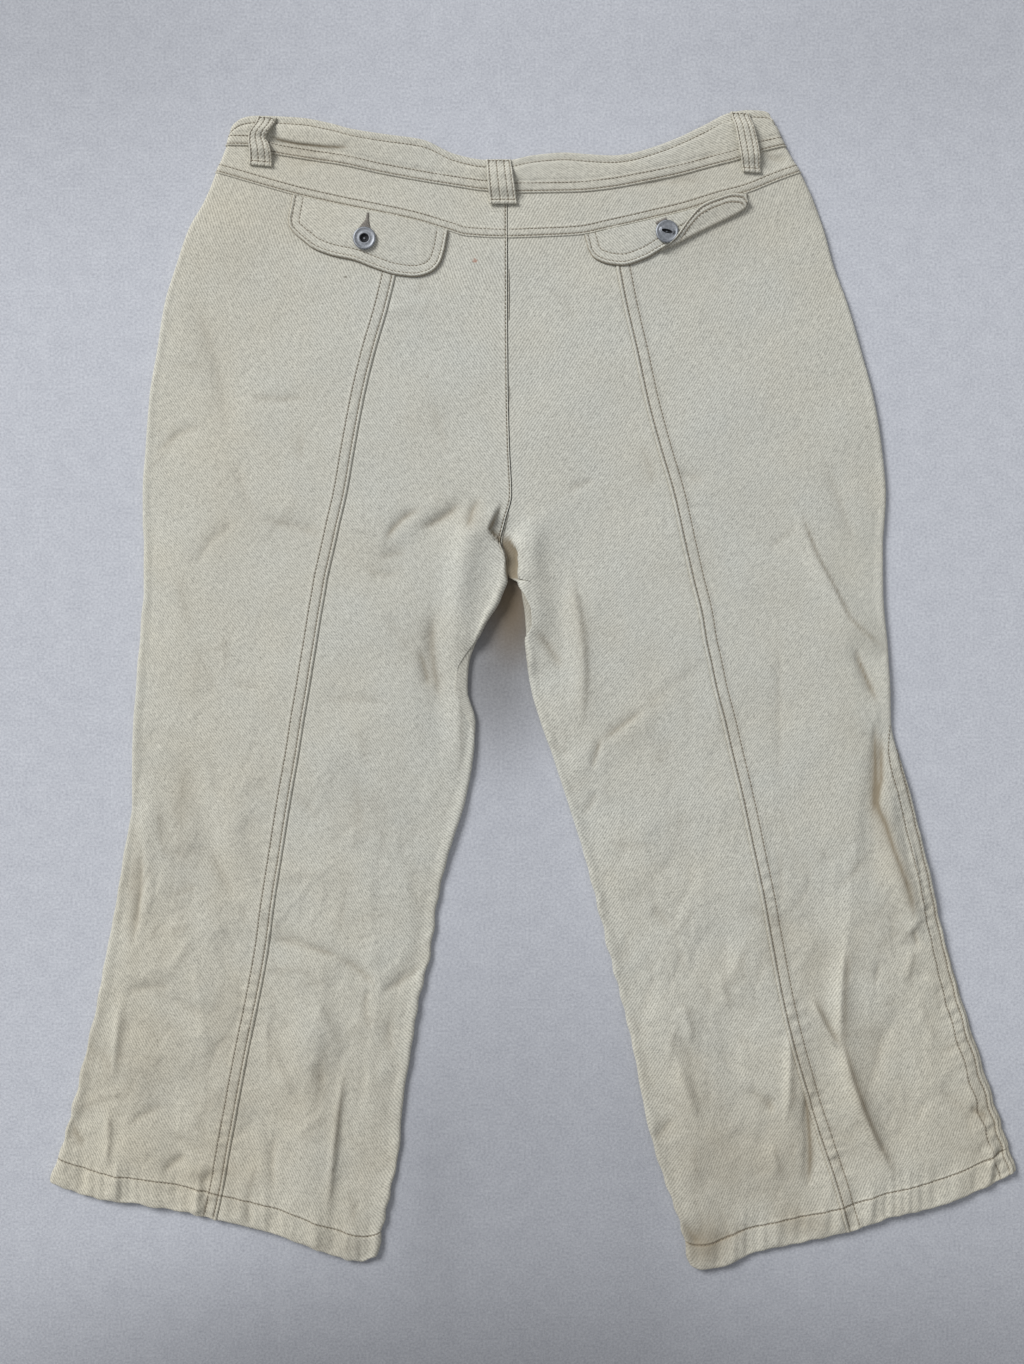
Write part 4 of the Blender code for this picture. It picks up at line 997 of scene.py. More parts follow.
def wear_finish(piece, node, name):
    """A piece's material, the solid that it stands for, and the body it rides on."""
    piece.data.materials.append(finish(name))
    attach(piece, "root")
    if node:
        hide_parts(node)
    return piece


def cloth_finish(piece, node, area):
    """A piece of the cloth in the cream twill. The size that it was cut to, area, is not used.
    """
    wear_finish(piece, node, "cream_linen_twill")
    return piece


def cloth_mm(name):
    """One of the sizes of the cloth, in millimetres."""
    return getattr(bpy.context.scene.capri_cloth, name) / MM


def spread(start, end, step):
    """Columns from start to end, about `step` apart. Either is an array down the rows, or one
    number for all of them."""
    start, end = np.broadcast_arrays(start, end)
    count = max(2, int(np.ceil(np.abs(end - start).max() / step)) + 1)
    return start[:, None] + (end - start)[:, None] * np.linspace(0.0, 1.0, count)


def columns(near, step, far):
    """The columns `near`, those that are `step` apart, and the columns `far`."""
    between = spread(near[:, -1], far[:, 0], step)
    return np.concatenate([near, between[:, 1:], far[:, 1:]], axis=1)


def seam_steps(stitches):
    """SEAM_STEPS moved so that its two close groups lie under these rows of stitches."""
    return np.interp(SEAM_STEPS, (0.0, *FELLED, 14.0),
                     (0.0, stitches[0], stitches[1], stitches[1] + 3.8))


def centre_columns(end):
    """Columns up to the centre-back fold, closer at its row of stitches."""
    return end - seam_steps(FELLED)[:CENTRE_STEPS][::-1]


def side_columns(rows):
    """Columns round the side edge of the waist."""
    return spread(np.full_like(rows, -6.0), 8.0, 1.2)


def leg_rows(leg, first, step):
    """Rows down a leg from row `first` to the hem, closer where the hem is sewn."""
    body = np.arange(first, 3.0 - HEM_TOP / leg.drop, step / leg.drop)
    band = np.arange(*HEM_MIDDLE, -step)
    return np.append(body, 3.0 - np.concatenate([HEM_STEPS, band, LIP_STEPS]) / leg.drop)


def waist_rows(upper, count, stitches, reach, depth, last):
    """Rows of the yoke or the waistband down to row `last`: the rows `upper`, in `count` steps
    to the stitches, and close together there. `reach` and `depth` are in millimetres."""
    low = seam_steps(stitches)[::-1]
    low = low[low < reach] / depth
    middle = np.linspace(upper[-1], last - low[0], count)[1:-1]
    return np.concatenate([upper, middle, last - low])


def hem_parts(leg, q, v):
    """Rise of the hem on a leg's cloth, and how close its stitches are, from 0 to 1."""
    edge = (3.0 - v) * leg.drop
    x = leg.plan(leg.share(q, v), v)[0]
    return hem_rise(edge, x, HEM_WAVES[leg.half]), bell(edge - HEM_STITCH, 0.8)


def cut_area(q, leg, v):
    """Flat area of a panel in square metres: the length of its rows of cloth, summed down
    the panel over the distance between the rows."""
    points = leg.surface(0.5 * (q[:, :1] + q[:, -1:]), v[:, :1])[:, 0]
    down = np.linalg.norm(np.diff(points[:, :2], axis=0), axis=1)
    wide = np.abs(q[:, -1] - q[:, 0])
    return float(np.sum(0.5 * (wide[1:] + wide[:-1]) * down)) * MM * MM


def cloth_panel(part, leg, q, rows, rise, worn):
    """A panel of the legs or the yoke: a closed shell one cloth thick."""
    node, v = part + leg.half, rows[:, None]
    upper, normal, shade_wear = leg.on_cloth(q, v, rise)
    uv = np.stack(np.broadcast_arrays(q, leg.row_ends(v)[3]), axis=-1)
    piece = sheet_object(node + "_cloth", upper, upper - normal * cloth_mm("thickness"), uv,
                         shade_wear + worn)
    return cloth_finish(piece, node,
                        cut_area(q, leg, v))


def outer_panel(half):
    """Back leg from the side edge to the back leg seam. Its edge lies folded on the inner
    panel, with two rows of stitches; on the right, so does its edge along the side seam."""
    leg = Leg(half)
    rows = leg_rows(leg, BACK_START, ROW_STEP * cloth_mm("step"))
    seam, start = leg.seam_path(rows)[:, None], leg.back_ends(rows)[0]
    steps = seam_steps(FELLED)
    near = spread(start, 6.0, 1.3) if half == "left" else start[:, None] + steps
    q = columns(near, COLUMN_STEP * cloth_mm("step"), seam - steps[::-1])
    y = leg.row_ends(rows)[1][:, None]
    hem, hem_stitched = hem_parts(leg, q, rows[:, None])
    rise = leg_seam_rise(seam - q, y, 1.0) + hem
    # painted shade along the seam's edge and grooves, and in the hem's stitch groove
    worn = seam_shade(seam - q, FELLED) + 0.6 * hem_stitched
    if half == "right":
        side, shown = q - start[:, None], smooth((-30.0 - y) / 24.0)
        rise = rise + shown * leg_seam_rise(side, y, 2.0)
        worn = worn + shown * seam_shade(side, FELLED)
    return cloth_panel("back_panel_outer_", leg, q, rows, rise, worn)


def inner_panel(half):
    """Back leg from under the back leg seam to the centre-back seam and the inseam. The left
    one lies folded over the right one at the centre back."""
    leg = Leg(half)
    rows = leg_rows(leg, BACK_START, ROW_STEP * cloth_mm("step"))
    seam, end = leg.seam_path(rows)[:, None], leg.back_ends(rows)[1][:, None]
    far = centre_columns(end) if half == "left" else end - np.array(PLAIN_STEPS)
    q = columns(seam + np.array(UNDER_STEPS), COLUMN_STEP * cloth_mm("step"), far)
    _, y, _, inner_y = leg.row_ends(rows[:, None])
    beyond, from_end = q - seam, end - q
    pucker = (0.05 + 0.30 * down_leg(y)) * bell(beyond - 5.0, 4.0)
    fold, folded = centre_fold(half, from_end)
    if half == "left":
        fold = fold + 0.35 * (1.0 - smooth((from_end - 3.2) / 1.5)) - 0.5 * bell(from_end, 0.4)
    else:
        folded = 0.7 * bell(from_end, 0.6)
    above = smooth((inner_y - 92.0) / 12.0)
    hem, hem_stitched = hem_parts(leg, q, rows[:, None])
    rise = (-0.3 * (1.0 - smooth(beyond / 1.6)) + pucker * uneven_wave(y, PUCKER_WAVE, 1.4)
            + above * fold + hem)
    # painted shade in the gap under the seam's folded edge, along the centre fold and in the
    # hem's stitch groove
    worn = (0.55 * bell(np.clip(beyond, 0.0, None), 0.45) + above * folded
            + 0.6 * hem_stitched)
    return cloth_panel("back_panel_inner_", leg, q, rows, rise, worn)


def front_panel(half):
    """Front leg: flat on the floor, turned up round its edges, where it runs on a little
    under the back's folded edge."""
    leg = Leg(half)
    rows = leg_rows(leg, 1.0 + 0.01, FRONT_ROW_STEP)
    length = leg.length(rows)
    side, inner = leg.back_ends(rows)
    inner = inner - 2.0 * length
    side = spread(side + UNDERLAP * (side > -2.0), -FRONT_TURN, FRONT_EDGE_STEP)
    inner = spread(FRONT_TURN - length, inner - UNDERLAP * (inner < -length), FRONT_EDGE_STEP)
    q = columns(side, FRONT_COLUMN_STEP, inner)
    shown = np.maximum(q, -length[:, None] - q) > -2.0
    inner_y = leg.row_ends(rows)[3][:, None]
    # painted shade on the strips of the front that show beside the back's edges, darkest towards
    # the fork, and in the hem's stitch groove
    worn = 0.3 * hem_parts(leg, q, rows[:, None])[1] + shown * (
        0.3 + 0.6 * smooth((inner_y - 30.0) / 40.0))
    return cloth_panel("front_panel_", leg, q, rows, np.where(shown, -0.4, 0.0), worn)


def yoke(half):
    """Half of the back yoke, folded over the leg panels along its lower edge."""
    leg = Leg(half)
    rows = waist_rows((1.0 - 0.07,), 8, YOKE_STITCHES, 0.8 * YOKE_DEPTH, YOKE_DEPTH, 2.0)
    end = leg.length(rows)[:, None] - HALF_GAP
    q = columns(side_columns(rows), cloth_mm("step"), centre_columns(end))
    depth = leg.depth(q, 2)
    edge, above = (2.0 - rows[:, None]) * depth, (rows[:, None] - 1.0) * depth
    fold, folded = centre_fold(half, end - q)
    rise = (felled_rise(edge, q, YOKE_PUCKER, YOKE_STITCHES, 3.0)
            - 0.42 * (1.0 - smooth(above / 1.6)) + fold)
    # painted shade along the seam's edge and grooves, and under the yoke's folded edge
    worn = (seam_shade(edge, YOKE_STITCHES) + 0.75 * bell(np.clip(above, 0.0, None), 0.5)
            + folded)
    return cloth_panel("yoke_", leg, q, rows, rise, worn)


def band_rise(q, edge, below):
    """Rise of the waistband between its lower edge and its top edge: a soft roll between the
    rows of stitches, with grooves under them and puckers across."""
    roll = 0.6 * smooth((edge - 9.0) / 3.0) * smooth((below - BAND_TOP_STITCH) / 3.0)
    groove = -0.45 * bell(below - BAND_TOP_STITCH, 0.55) - 0.5 * bell(below, 0.7)
    pucker = 0.16 * bell(edge - 5.5, 3.0) * uneven_wave(q, 9.0, 1.0)
    return seam_rise(edge, BAND_STITCHES) + roll + groove + pucker


def band_sheet(node, half_band):
    """A waistband from side to side: the grids that `half_band` gives for the left half, and
    then those for the right, the other way round."""
    left, right = (half_band(Leg(half)) for half in HALVES)
    grids = [np.concatenate([one, other[:, ::-1]], axis=1) for one, other in zip(left, right)]
    piece = sheet_object(node + "_cloth", *grids)
    return cloth_finish(piece, node, CUT_AREAS[node])


def waistband_back():
    """Back waistband, folded over the yokes along its lower edge."""
    rows = waist_rows(np.array(BAND_STEPS) / BAND_DEPTH, 14, BAND_STITCHES, 13.0, BAND_DEPTH,
                      1.0)

    def half_band(leg):
        end = leg.length(rows)[:, None] - HALF_GAP
        q = columns(side_columns(rows), BAND_COLUMN_STEP * cloth_mm("step"), end)
        depth = leg.depth(q, 1)
        edge, below = (1.0 - rows[:, None]) * depth, rows[:, None] * depth
        upper, normal, shade_wear = leg.on_cloth(q, rows[:, None], band_rise(q, edge, below))
        # painted shade along the seam's edge and grooves, and in the top row's groove
        shade_wear = shade_wear + seam_shade(edge, BAND_STITCHES) + 0.45 * bell(below - BAND_TOP_STITCH, 0.6)
        uv = np.stack([edge, q * leg.facing], axis=-1)
        return upper, upper - normal * 1.2 * cloth_mm("thickness"), uv, shade_wear

    return band_sheet("waistband_back", half_band)


def waistband_front():
    """Front waistband under the back one, its top edge a little lower."""
    rows = np.linspace(FRONT_DROP, 1.0 - 0.01, 8)

    def half_band(leg):
        q = columns(spread(np.full_like(rows, -6.3), -12.0, 1.5), 5.0,
                    HALF_GAP - leg.length(rows)[:, None])
        upper, normal, shade_wear = leg.on_cloth(q, rows[:, None], 0.0)
        uv = np.stack(np.broadcast_arrays(rows[:, None] * BAND_DEPTH, q * leg.facing), axis=-1)
        return upper, upper - normal * 1.4, uv, shade_wear

    return band_sheet("waistband_front", half_band)


# ---- Belt loops --------------------------------------------------------------------------
def loop_surface(row, s, t):
    """Lower and upper points of a belt loop at shares s down it and t across it, from -0.5 to
    0.5. It lies on its feet and arches over the gap for a belt. A buckled one also bends."""
    _, buckle, lean, points = row
    points = np.array(points, float)
    place = path_lengths(points[:, :2])
    length = place[-1]
    here = s * length
    x0, y0, width = (curve(place, part, here) for part in points.T)
    side_x, side_y = np.cos(lean), np.sin(lean)
    from_end = np.minimum(here, length - here)
    lift = LOOP_LIFT * smooth((from_end - 0.7 * LOOP_FOOT) / (1.3 * LOOP_RAMP))
    wave = buckle * (0.6 * bell(s - 0.25, 0.12) - 1.1 * bell(s - 0.47, 0.09))
    wide = np.linspace(-0.5, 0.5, 5)[:, None, None] * width
    seat = top_height(x0 + side_x * wide, y0 + side_y * wide).max(axis=0)
    ends = np.interp(s, (0.0, 1.0), (seat[0].max(), seat[-1].max()))
    z = np.maximum(seat, ends) + LOOP_SEAT + lift + wave * (1.0 + 1.5 * t)
    inward = 0.5 * width - np.abs(t) * width
    lines = sum(-0.45 * bell((t - line) * width, 0.55) for line in LOOP_STITCHES)
    cord = 0.35 * bell(inward - 0.8, 0.7) - 0.7 * bell(inward, 0.45)
    foot = 0.6 * (1.0 - smooth((length - here - 3.4) / 0.8)) - 0.5 * bell(length - here, 0.5)
    foot = foot - 0.7 * bell(length - here - LOOP_BAR, 0.5)
    top = z + LOOP_WALL + lines + cord + foot + 0.2 * bell(t * width, 2.2)
    x, y = x0 + side_x * width * t, y0 + side_y * width * t
    return np.stack([x, y, z], axis=-1), np.stack([x, y, top], axis=-1), width, length


def belt_loop(row):
    """Belt loop: a folded strip with four rows of stitches and a bar at its foot."""
    s = np.concatenate([np.linspace(*part) for part in LOOP_ROWS])
    s, t = np.meshgrid(s, np.linspace(-0.5, 0.5, LOOP_COLUMNS), indexing="ij")
    lower, upper, width, length = loop_surface(row, s, t)
    # painted shade in the grooves of the stitches, along the folded edges and under the bar
    worn = sum(0.35 * bell((t - line) * width, 0.5) for line in LOOP_STITCHES)
    worn = worn + 0.5 * bell(0.5 * width - np.abs(t) * width, 0.3)
    worn = worn + 0.6 * bell((1.0 - s) * length - LOOP_BAR, 0.5)
    uv = np.stack([t * width, s * length], axis=-1)
    piece = sheet_object(row[0] + "_cloth", upper, lower, uv, worn)
    return cloth_finish(piece, row[0],
                        float(width.mean()) * length * MM * MM)


# ---- Pocket flaps ------------------------------------------------------------------------
def flap_plan(sides, low, u, w):
    """Points of a flap at shares u across and w down: blended from its four edges, the top
    one along the yoke seam."""
    (start, end_left), (end, end_right) = sides
    top_x = start[0] + (end[0] - start[0]) * u
    top = np.stack([top_x, along(YOKE_SEAM, top_x) - 4.0 * HALF_GAP], axis=-1)
    bottom = follow(low, u)
    left = np.array(start) + (np.array(end_left) - np.array(start)) * w[:, None]
    right = np.array(end) + (np.array(end_right) - np.array(end)) * w[:, None]
    uu, ww = u[None, :, None], w[:, None, None]
    corners = ((1 - uu) * (1 - ww) * top[0] + uu * (1 - ww) * top[-1]
               + (1 - uu) * ww * bottom[0] + uu * ww * bottom[-1])
    return ((1 - ww) * top[None] + ww * bottom[None] + (1 - uu) * left[:, None]
            + uu * right[:, None] - corners)


def flap_outline(half):
    """The free edge as a fine line: down the outer side, along the bottom, up the inner."""
    ((start, _), (end, _)), low = FLAPS[half]
    return np.concatenate([[start], follow(low, np.linspace(0.0, 1.0, 160)), [end]])


def flap_top(x, y, edge):
    """Height of a flap's face: on the cloth, with a cord along its free edge, a groove under
    each row of stitches and a slight crown."""
    crown = 0.5 * smooth((edge - 3.0) / 16.0)
    cord = 0.6 * bell(edge - 1.3, 1.1)
    grooves = sum(-0.42 * bell(edge - row, 0.55) for row in FLAP_STITCHES)
    crease, _ = crease_relief(x, y)
    return (top_height(x, y) + FLAP_SEAT + FLAP_WALL + crown + cord + grooves
            - 0.8 * bell(edge, 0.4) + 0.5 * crease + swell(x, y))


def flap(half):
    """Grids of a pocket flap, two layers thick."""
    plan = flap_plan(*FLAPS[half], *(np.linspace(0.0, 1.0, count) for count in FLAP_GRID))
    x, y = plan[..., 0], plan[..., 1]
    edge = np.abs(beside(flap_outline(half), x, y)[0])
    upper = np.stack([x, y, flap_top(x, y, edge)], axis=-1)
    lower = np.stack([x, y, top_height(x, y) + FLAP_SEAT - FLAP_SINK], axis=-1)
    # painted shadow along the free edge, where the flap lies on the cloth, and painted shade in
    # the grooves of its stitches
    worn = 1.7 * bell(edge, 0.55) + sum(0.4 * bell(edge - row, 0.55) for row in FLAP_STITCHES)
    return upper, lower, plan, worn


def turned_corner():
    """Grids of the corner of the right flap that is turned up. Across its fold it is a wall on
    a path: out of the flap, round the bend and back over it to the free edge, which is
    corded. Its lean is the angle of the wall's face, from pi below to 0 above."""
    line = follow(TURN_UP, np.linspace(0.0, 1.0, CORNER_COLUMNS))
    fold, edge, rise = line[:, 0:2], line[:, 2:4], line[:, 4]
    reach = np.linalg.norm(edge - fold, axis=-1)
    direction = (edge - fold) / reach[:, None]
    bend = np.linspace(np.pi, BEND_END, BEND_ROWS)[:, None]
    flat = np.linspace(0.0, 1.0, CORNER_ROWS)[1:, None]
    past = -0.6 - BEND_RADIUS * np.sin(bend)
    high = 0.6 + BEND_RADIUS * (1.0 + np.cos(bend))
    past = np.concatenate([past + 0.0 * reach, flat * reach])
    high = np.concatenate([high + 0.0 * reach,
                           high[-1] + 0.1 + 0.55 * rise * smooth(flat * 1.4)])
    base = top_height(fold[:, 0], fold[:, 1]) + FLAP_SEAT
    middle = np.concatenate([fold + direction * past[..., None], (base + high)[..., None]],
                            axis=-1)
    lean = np.append(bend, np.zeros(len(flat)))[:, None]
    out = np.stack([-np.sin(lean) * direction[:, 0], -np.sin(lean) * direction[:, 1],
                    np.cos(lean) + 0.0 * reach], axis=-1)
    from_edge = (1.0 - flat) * reach
    cord = 0.55 * bell(from_edge - 1.2, 1.0) - 0.6 * bell(from_edge, 0.4)
    cord = cord - sum(0.4 * bell(from_edge - row, 0.5) for row in TURN_STITCHES)
    cord = np.concatenate([np.zeros((BEND_ROWS, len(line))), cord])
    # painted shade: round the bend of the fold, along the free edge, in the grooves of its
    # stitches, and a little over the face
    worn = 0.9 * bell(from_edge, 0.5) + 0.12 * smooth((from_edge - 2.6) / 6.0)
    worn = worn + sum(1.2 * bell(from_edge - row, 0.7) for row in TURN_STITCHES)
    worn = np.concatenate([np.full((BEND_ROWS, len(line)), 0.7), worn])
    half = 0.5 * CORNER_WALL
    upper = middle + (half + cord)[..., None] * out
    return upper, middle - half * out, upper[..., :2], worn


def corner_line(inset):
    """The line of stitches at this distance from the turned-up corner's free edge."""
    upper = turned_corner()[0][BEND_ROWS:]
    reach = np.linalg.norm(upper[-1, :, :2] - upper[0, :, :2], axis=-1)
    share = np.clip(1.0 - inset / np.maximum(reach, 0.1), 0.0, 1.0) * (len(upper) - 1)
    row = share.astype(int)
    column = np.arange(upper.shape[1])
    line = upper[row, column] + np.array((0.0, 0.0, 0.15))
    return line[reach > inset + 1.0]


def join_pieces(piece, other):
    """Put another object's mesh into a piece, beside its own."""
    bpy.ops.object.select_all(action="DESELECT")
    piece.select_set(True)
    other.select_set(True)
    bpy.context.view_layer.objects.active = piece
    bpy.ops.object.join()


# ---- Buttons -----------------------------------------------------------------------------
def button(x, y, long, wide, tilt):
    """Metal button turned from its profile: each point of the profile runs round the axis.
    The hollow's rings are squeezed to `long` and `wide` and turned by `tilt`."""
    seat = top_height(np.array([x]), np.array([y]))[0] + BUTTON_SEAT
    profile, sides = np.array(BUTTON_PROFILE), BUTTON_SIDES
    angle = np.arange(sides) * 2.0 * np.pi / sides
    inner = (np.arange(len(profile)) >= HOLLOW_ROWS[0] - 1)[:, None]
    along_x = profile[:, :1] * np.cos(angle - tilt) * np.where(inner, long, 1.0)
    along_y = profile[:, :1] * np.sin(angle - tilt) * np.where(inner, wide, 1.0)
    points = np.stack([x + along_x * np.cos(tilt) - along_y * np.sin(tilt),
                       y + along_x * np.sin(tilt) + along_y * np.cos(tilt),
                       np.broadcast_to(seat + profile[:, 1:], along_x.shape)], axis=-1)
    index = np.arange(len(profile) * sides).reshape(len(profile), sides)
    after = np.roll(index, -1, axis=1)
    faces = np.stack([index[:-1], after[:-1], after[1:], index[1:]], axis=-1).reshape(-1, 4)
    fan = np.arange(1, sides - 1, 2)[:, None] + np.arange(3)
    fan = np.concatenate([np.zeros((len(fan), 1), int), fan], axis=1)
    black = np.arange(len(faces)) // sides
    black = (black >= HOLLOW_ROWS[0]) & (black < HOLLOW_ROWS[1])
    faces = np.concatenate([faces, fan[:, ::-1], index[-1][fan]])
    return points.reshape(-1, 3), faces, np.append(black, np.zeros(2 * len(fan), bool))


# ---- Stitches ----------------------------------------------------------------------------
def stitch_mesh(name, starts, ends, normals, radius):
    """Many stitches as one mesh. Each is a spindle of three rings of six points between two
    tips, lying from its start to its end and half sunk in the cloth."""
    way = ends - starts
    length = np.linalg.norm(way, axis=-1, keepdims=True)
    way = way / length
    side = np.cross(way, normals)
    side /= np.linalg.norm(side, axis=-1, keepdims=True)
    up = np.cross(side, way)
    turn = np.arange(6) * np.pi / 3.0
    rings = []
    for share, size in ((0.12, 0.72), (0.5, 1.0), (0.88, 0.72)):
        middle = starts + way * length * share + up * radius * (0.35 + 0.35 * size)
        ring = (middle[:, None] + radius * size * (side[:, None] * np.cos(turn)[:, None]
                                                   + up[:, None] * np.sin(turn)[:, None]))
        rings.append(ring)
    points = np.concatenate([starts[:, None], *rings, ends[:, None]], axis=1)
    faces = []
    for k in range(6):
        j = (k + 1) % 6
        faces.append((0, 1 + k, 1 + j))
        for low, high in ((1, 7), (7, 13)):
            faces += [(low + k, high + k, low + j), (low + j, high + k, high + j)]
        faces.append((13 + k, 19, 13 + j))
    faces = np.array(faces)
    count = points.shape[1]
    all_faces = (faces[None] + count * np.arange(len(points))[:, None, None]).reshape(-1, 3)
    return mesh_object(name, points.reshape(-1, 3), all_faces)


def walk(line, normals, pitch, length, rng):
    """Starts, ends and normals of the stitches along a fine line of points: one stitch each
    pitch, with a little unevenness."""
    place = path_lengths(line)
    count = int(place[-1] / pitch)
    start = (np.arange(count) + 0.15) * pitch + rng.uniform(-0.06, 0.06, count) * pitch
    end = start + length

    def at(where, values):
        return np.stack([np.interp(where, place, part) for part in values.T], axis=-1)

    normals = np.broadcast_to(normals, line.shape)
    return at(start, line), at(end, line), at(0.5 * (start + end), normals)


def sew(name, lines):
    """One piece of thread from a list of (line, normals) pairs."""
    thread = bpy.context.scene.capri_thread
    rng = np.random.default_rng(len(name))
    parts = [walk(line, normals, thread.pitch / MM, thread.length / MM, rng)
             for line, normals in lines]
    starts, ends, normals = (np.concatenate(part) for part in zip(*parts))
    piece = stitch_mesh(name, starts, ends, normals, 0.5 * thread.width / MM)
    return wear_finish(piece, None, "taupe_cotton_thread")


def seam_line(leg, q, v, rise):
    """Points and normals of a line on the cloth, ready to be sewn."""
    return leg.on_cloth(q, v, rise + THREAD_SEAT)[:2]


def leg_stitches(leg):
    """Both rows of stitches down the back leg seam."""
    v = np.linspace(2.0, LAST_ROW, LEG_POINTS)
    seam, y = leg.seam_path(v), leg.row_ends(v)[1]
    sew("leg_seam_stitches_" + leg.half, [
        seam_line(leg, seam - edge, v,
                  leg_seam_rise(edge, y, 1.0) + hem_parts(leg, seam - edge, v)[0])
        for edge in FELLED])


def hem_stitches(leg):
    """The row of stitches along the hem, over the leg seam."""
    v = np.array([3.0 - HEM_STITCH / leg.drop])
    start, end = leg.back_ends(v)
    q = np.linspace(max(start[0], 0.5), min(end[0], leg.length(v)[0] - 0.5), SEAM_POINTS)
    edge = leg.seam_path(v) - q
    rise = hem_parts(leg, q, v)[0] + np.where(edge > 0, seam_rise(edge, FELLED), 0.0)
    sew("hem_stitches_" + leg.half, [seam_line(leg, q, v, rise)])


def waist_stitches(leg):
    """Two rows of stitches along the yoke seam, two along the waistband's lower edge, and one
    under its top edge."""
    lines = []
    for line, edge, end in ((2, YOKE_STITCHES[0], 3.0), (2, YOKE_STITCHES[1], 3.0),
                            (1, BAND_STITCHES[0], 3.0), (1, BAND_STITCHES[1], 3.0),
                            (0, BAND_TOP_STITCH, 0.5)):
        q = np.linspace(0.5, leg.length(float(line)) - end, SEAM_POINTS)
        depth = leg.depth(q, max(line, 1))
        v = np.abs(line - edge / depth)
        rise = felled_rise(edge, q, YOKE_PUCKER, YOKE_STITCHES, 3.0) if line == 2 else (
            band_rise(q, (1.0 - v) * depth, v * depth))
        lines.append(seam_line(leg, q, v, rise))
    sew("waist_stitches_" + leg.half, lines)


def centre_and_side_stitches():
    """The row of stitches down the left half's centre-back fold, and the two rows down the
    right leg's side seam, where that has come round the edge."""
    leg = Leg("left")
    v = np.append(np.linspace(1.0, 2.0, 60), np.linspace(2.0, CENTRE_END, 400)[1:])
    lines = [seam_line(leg, leg.length(v) - HALF_GAP - FIRST_STITCH, v, 0.25)]
    leg = Leg("right")
    v = np.linspace(SIDE_START, LAST_ROW, SEAM_POINTS)
    start, y = leg.back_ends(v)[0], leg.row_ends(v)[1]
    for edge in FELLED:
        on_top = start + edge > 0.4
        lines.append(seam_line(leg, (start + edge)[on_top], v[on_top],
                               leg_seam_rise(edge, y[on_top], 2.0)))
    sew("centre_and_side_stitches", lines)


def loop_stitches(row):
    """Four rows of stitches down a belt loop, and a bar of them across each end."""
    s = np.linspace(0.02, 0.99, LOOP_POINTS)[:, None]
    lines = []
    for t in LOOP_STITCHES:
        _, points, _, length = loop_surface(row, s, np.full_like(s, t))
        lines.append((points[:, 0], UP))
    for place in (0.03, 1.0 - LOOP_BAR / length):
        s, t = np.meshgrid((0.0, place, 1.0), np.linspace(-0.46, 0.46, 40), indexing="ij")
        lines.append((loop_surface(row, s, t)[1][1], UP))
    sew(row[0] + "_stitches", lines)


def flap_stitches(half):
    """Two rows of stitches along a flap's free edge, and two along the turned-up corner's."""
    lines = []
    for inset in FLAP_STITCHES:
        line = inset_line(flap_outline(half), inset)
        lines.append((np.column_stack([line, flap_top(line[:, 0], line[:, 1], inset)]), UP))
    if half == "right":
        lines += [(corner_line(inset), UP) for inset in TURN_STITCHES]
    sew("flap_stitches_" + half, lines)


def inset_line(line, inset):
    """A line moved sideways by `inset`, to the left of its way, smoothed where it turns."""
    way = np.gradient(line, axis=0)
    kernel = np.ones(9) / 9.0
    way = np.stack([np.convolve(np.pad(part, 4, mode="edge"), kernel, mode="valid")
                    for part in way.T], axis=-1)
    way /= np.linalg.norm(way, axis=-1, keepdims=True)
    moved = line + inset * np.stack([-way[:, 1], way[:, 0]], axis=-1)
    ahead = ((moved[1:] - moved[:-1]) * way[1:]).sum(-1) > 0.02
    return moved[np.append(True, ahead)]


def buttonholes():
    """Satin stitches side by side across the bars of the buttonholes."""
    sides = ([], [])
    for (x0, y0, wide0), (x1, y1, wide1) in BUTTONHOLES:
        length = np.hypot(x1 - x0, y1 - y0)
        t = np.linspace(0.0, 1.0, int(length / SATIN_PITCH) + 1)[:, None]
        half = 0.5 * (wide0 + (wide1 - wide0) * t)
        across = np.array((-(y1 - y0), x1 - x0)) / length
        middle = np.array((x0, y0)) + np.array((x1 - x0, y1 - y0)) * t
        for side, sign in zip(sides, (-1.0, 1.0)):
            xy = middle + sign * half * across
            side.append(np.column_stack([xy, flap_top(xy[:, 0], xy[:, 1], 20.0) + 0.1]))
    starts, ends = (np.concatenate(side) for side in sides)
    piece = stitch_mesh("buttonhole_stitches", starts, ends, np.tile(UP, (len(starts), 1)),
                        SATIN_RADIUS)
    return wear_finish(piece, None, "grey_cotton_thread")


# ---- Materials ---------------------------------------------------------------------------
def linear(code):
    """An sRGB hex value as the linear colour that shaders take."""
    part = np.array([int(code[k:k + 2], 16) for k in (0, 2, 4)]) / 255.0
    part = np.where(part <= 0.04045, part / 12.92, ((part + 0.055) / 1.055) ** 2.4)
    return (*part.tolist(), 1.0)


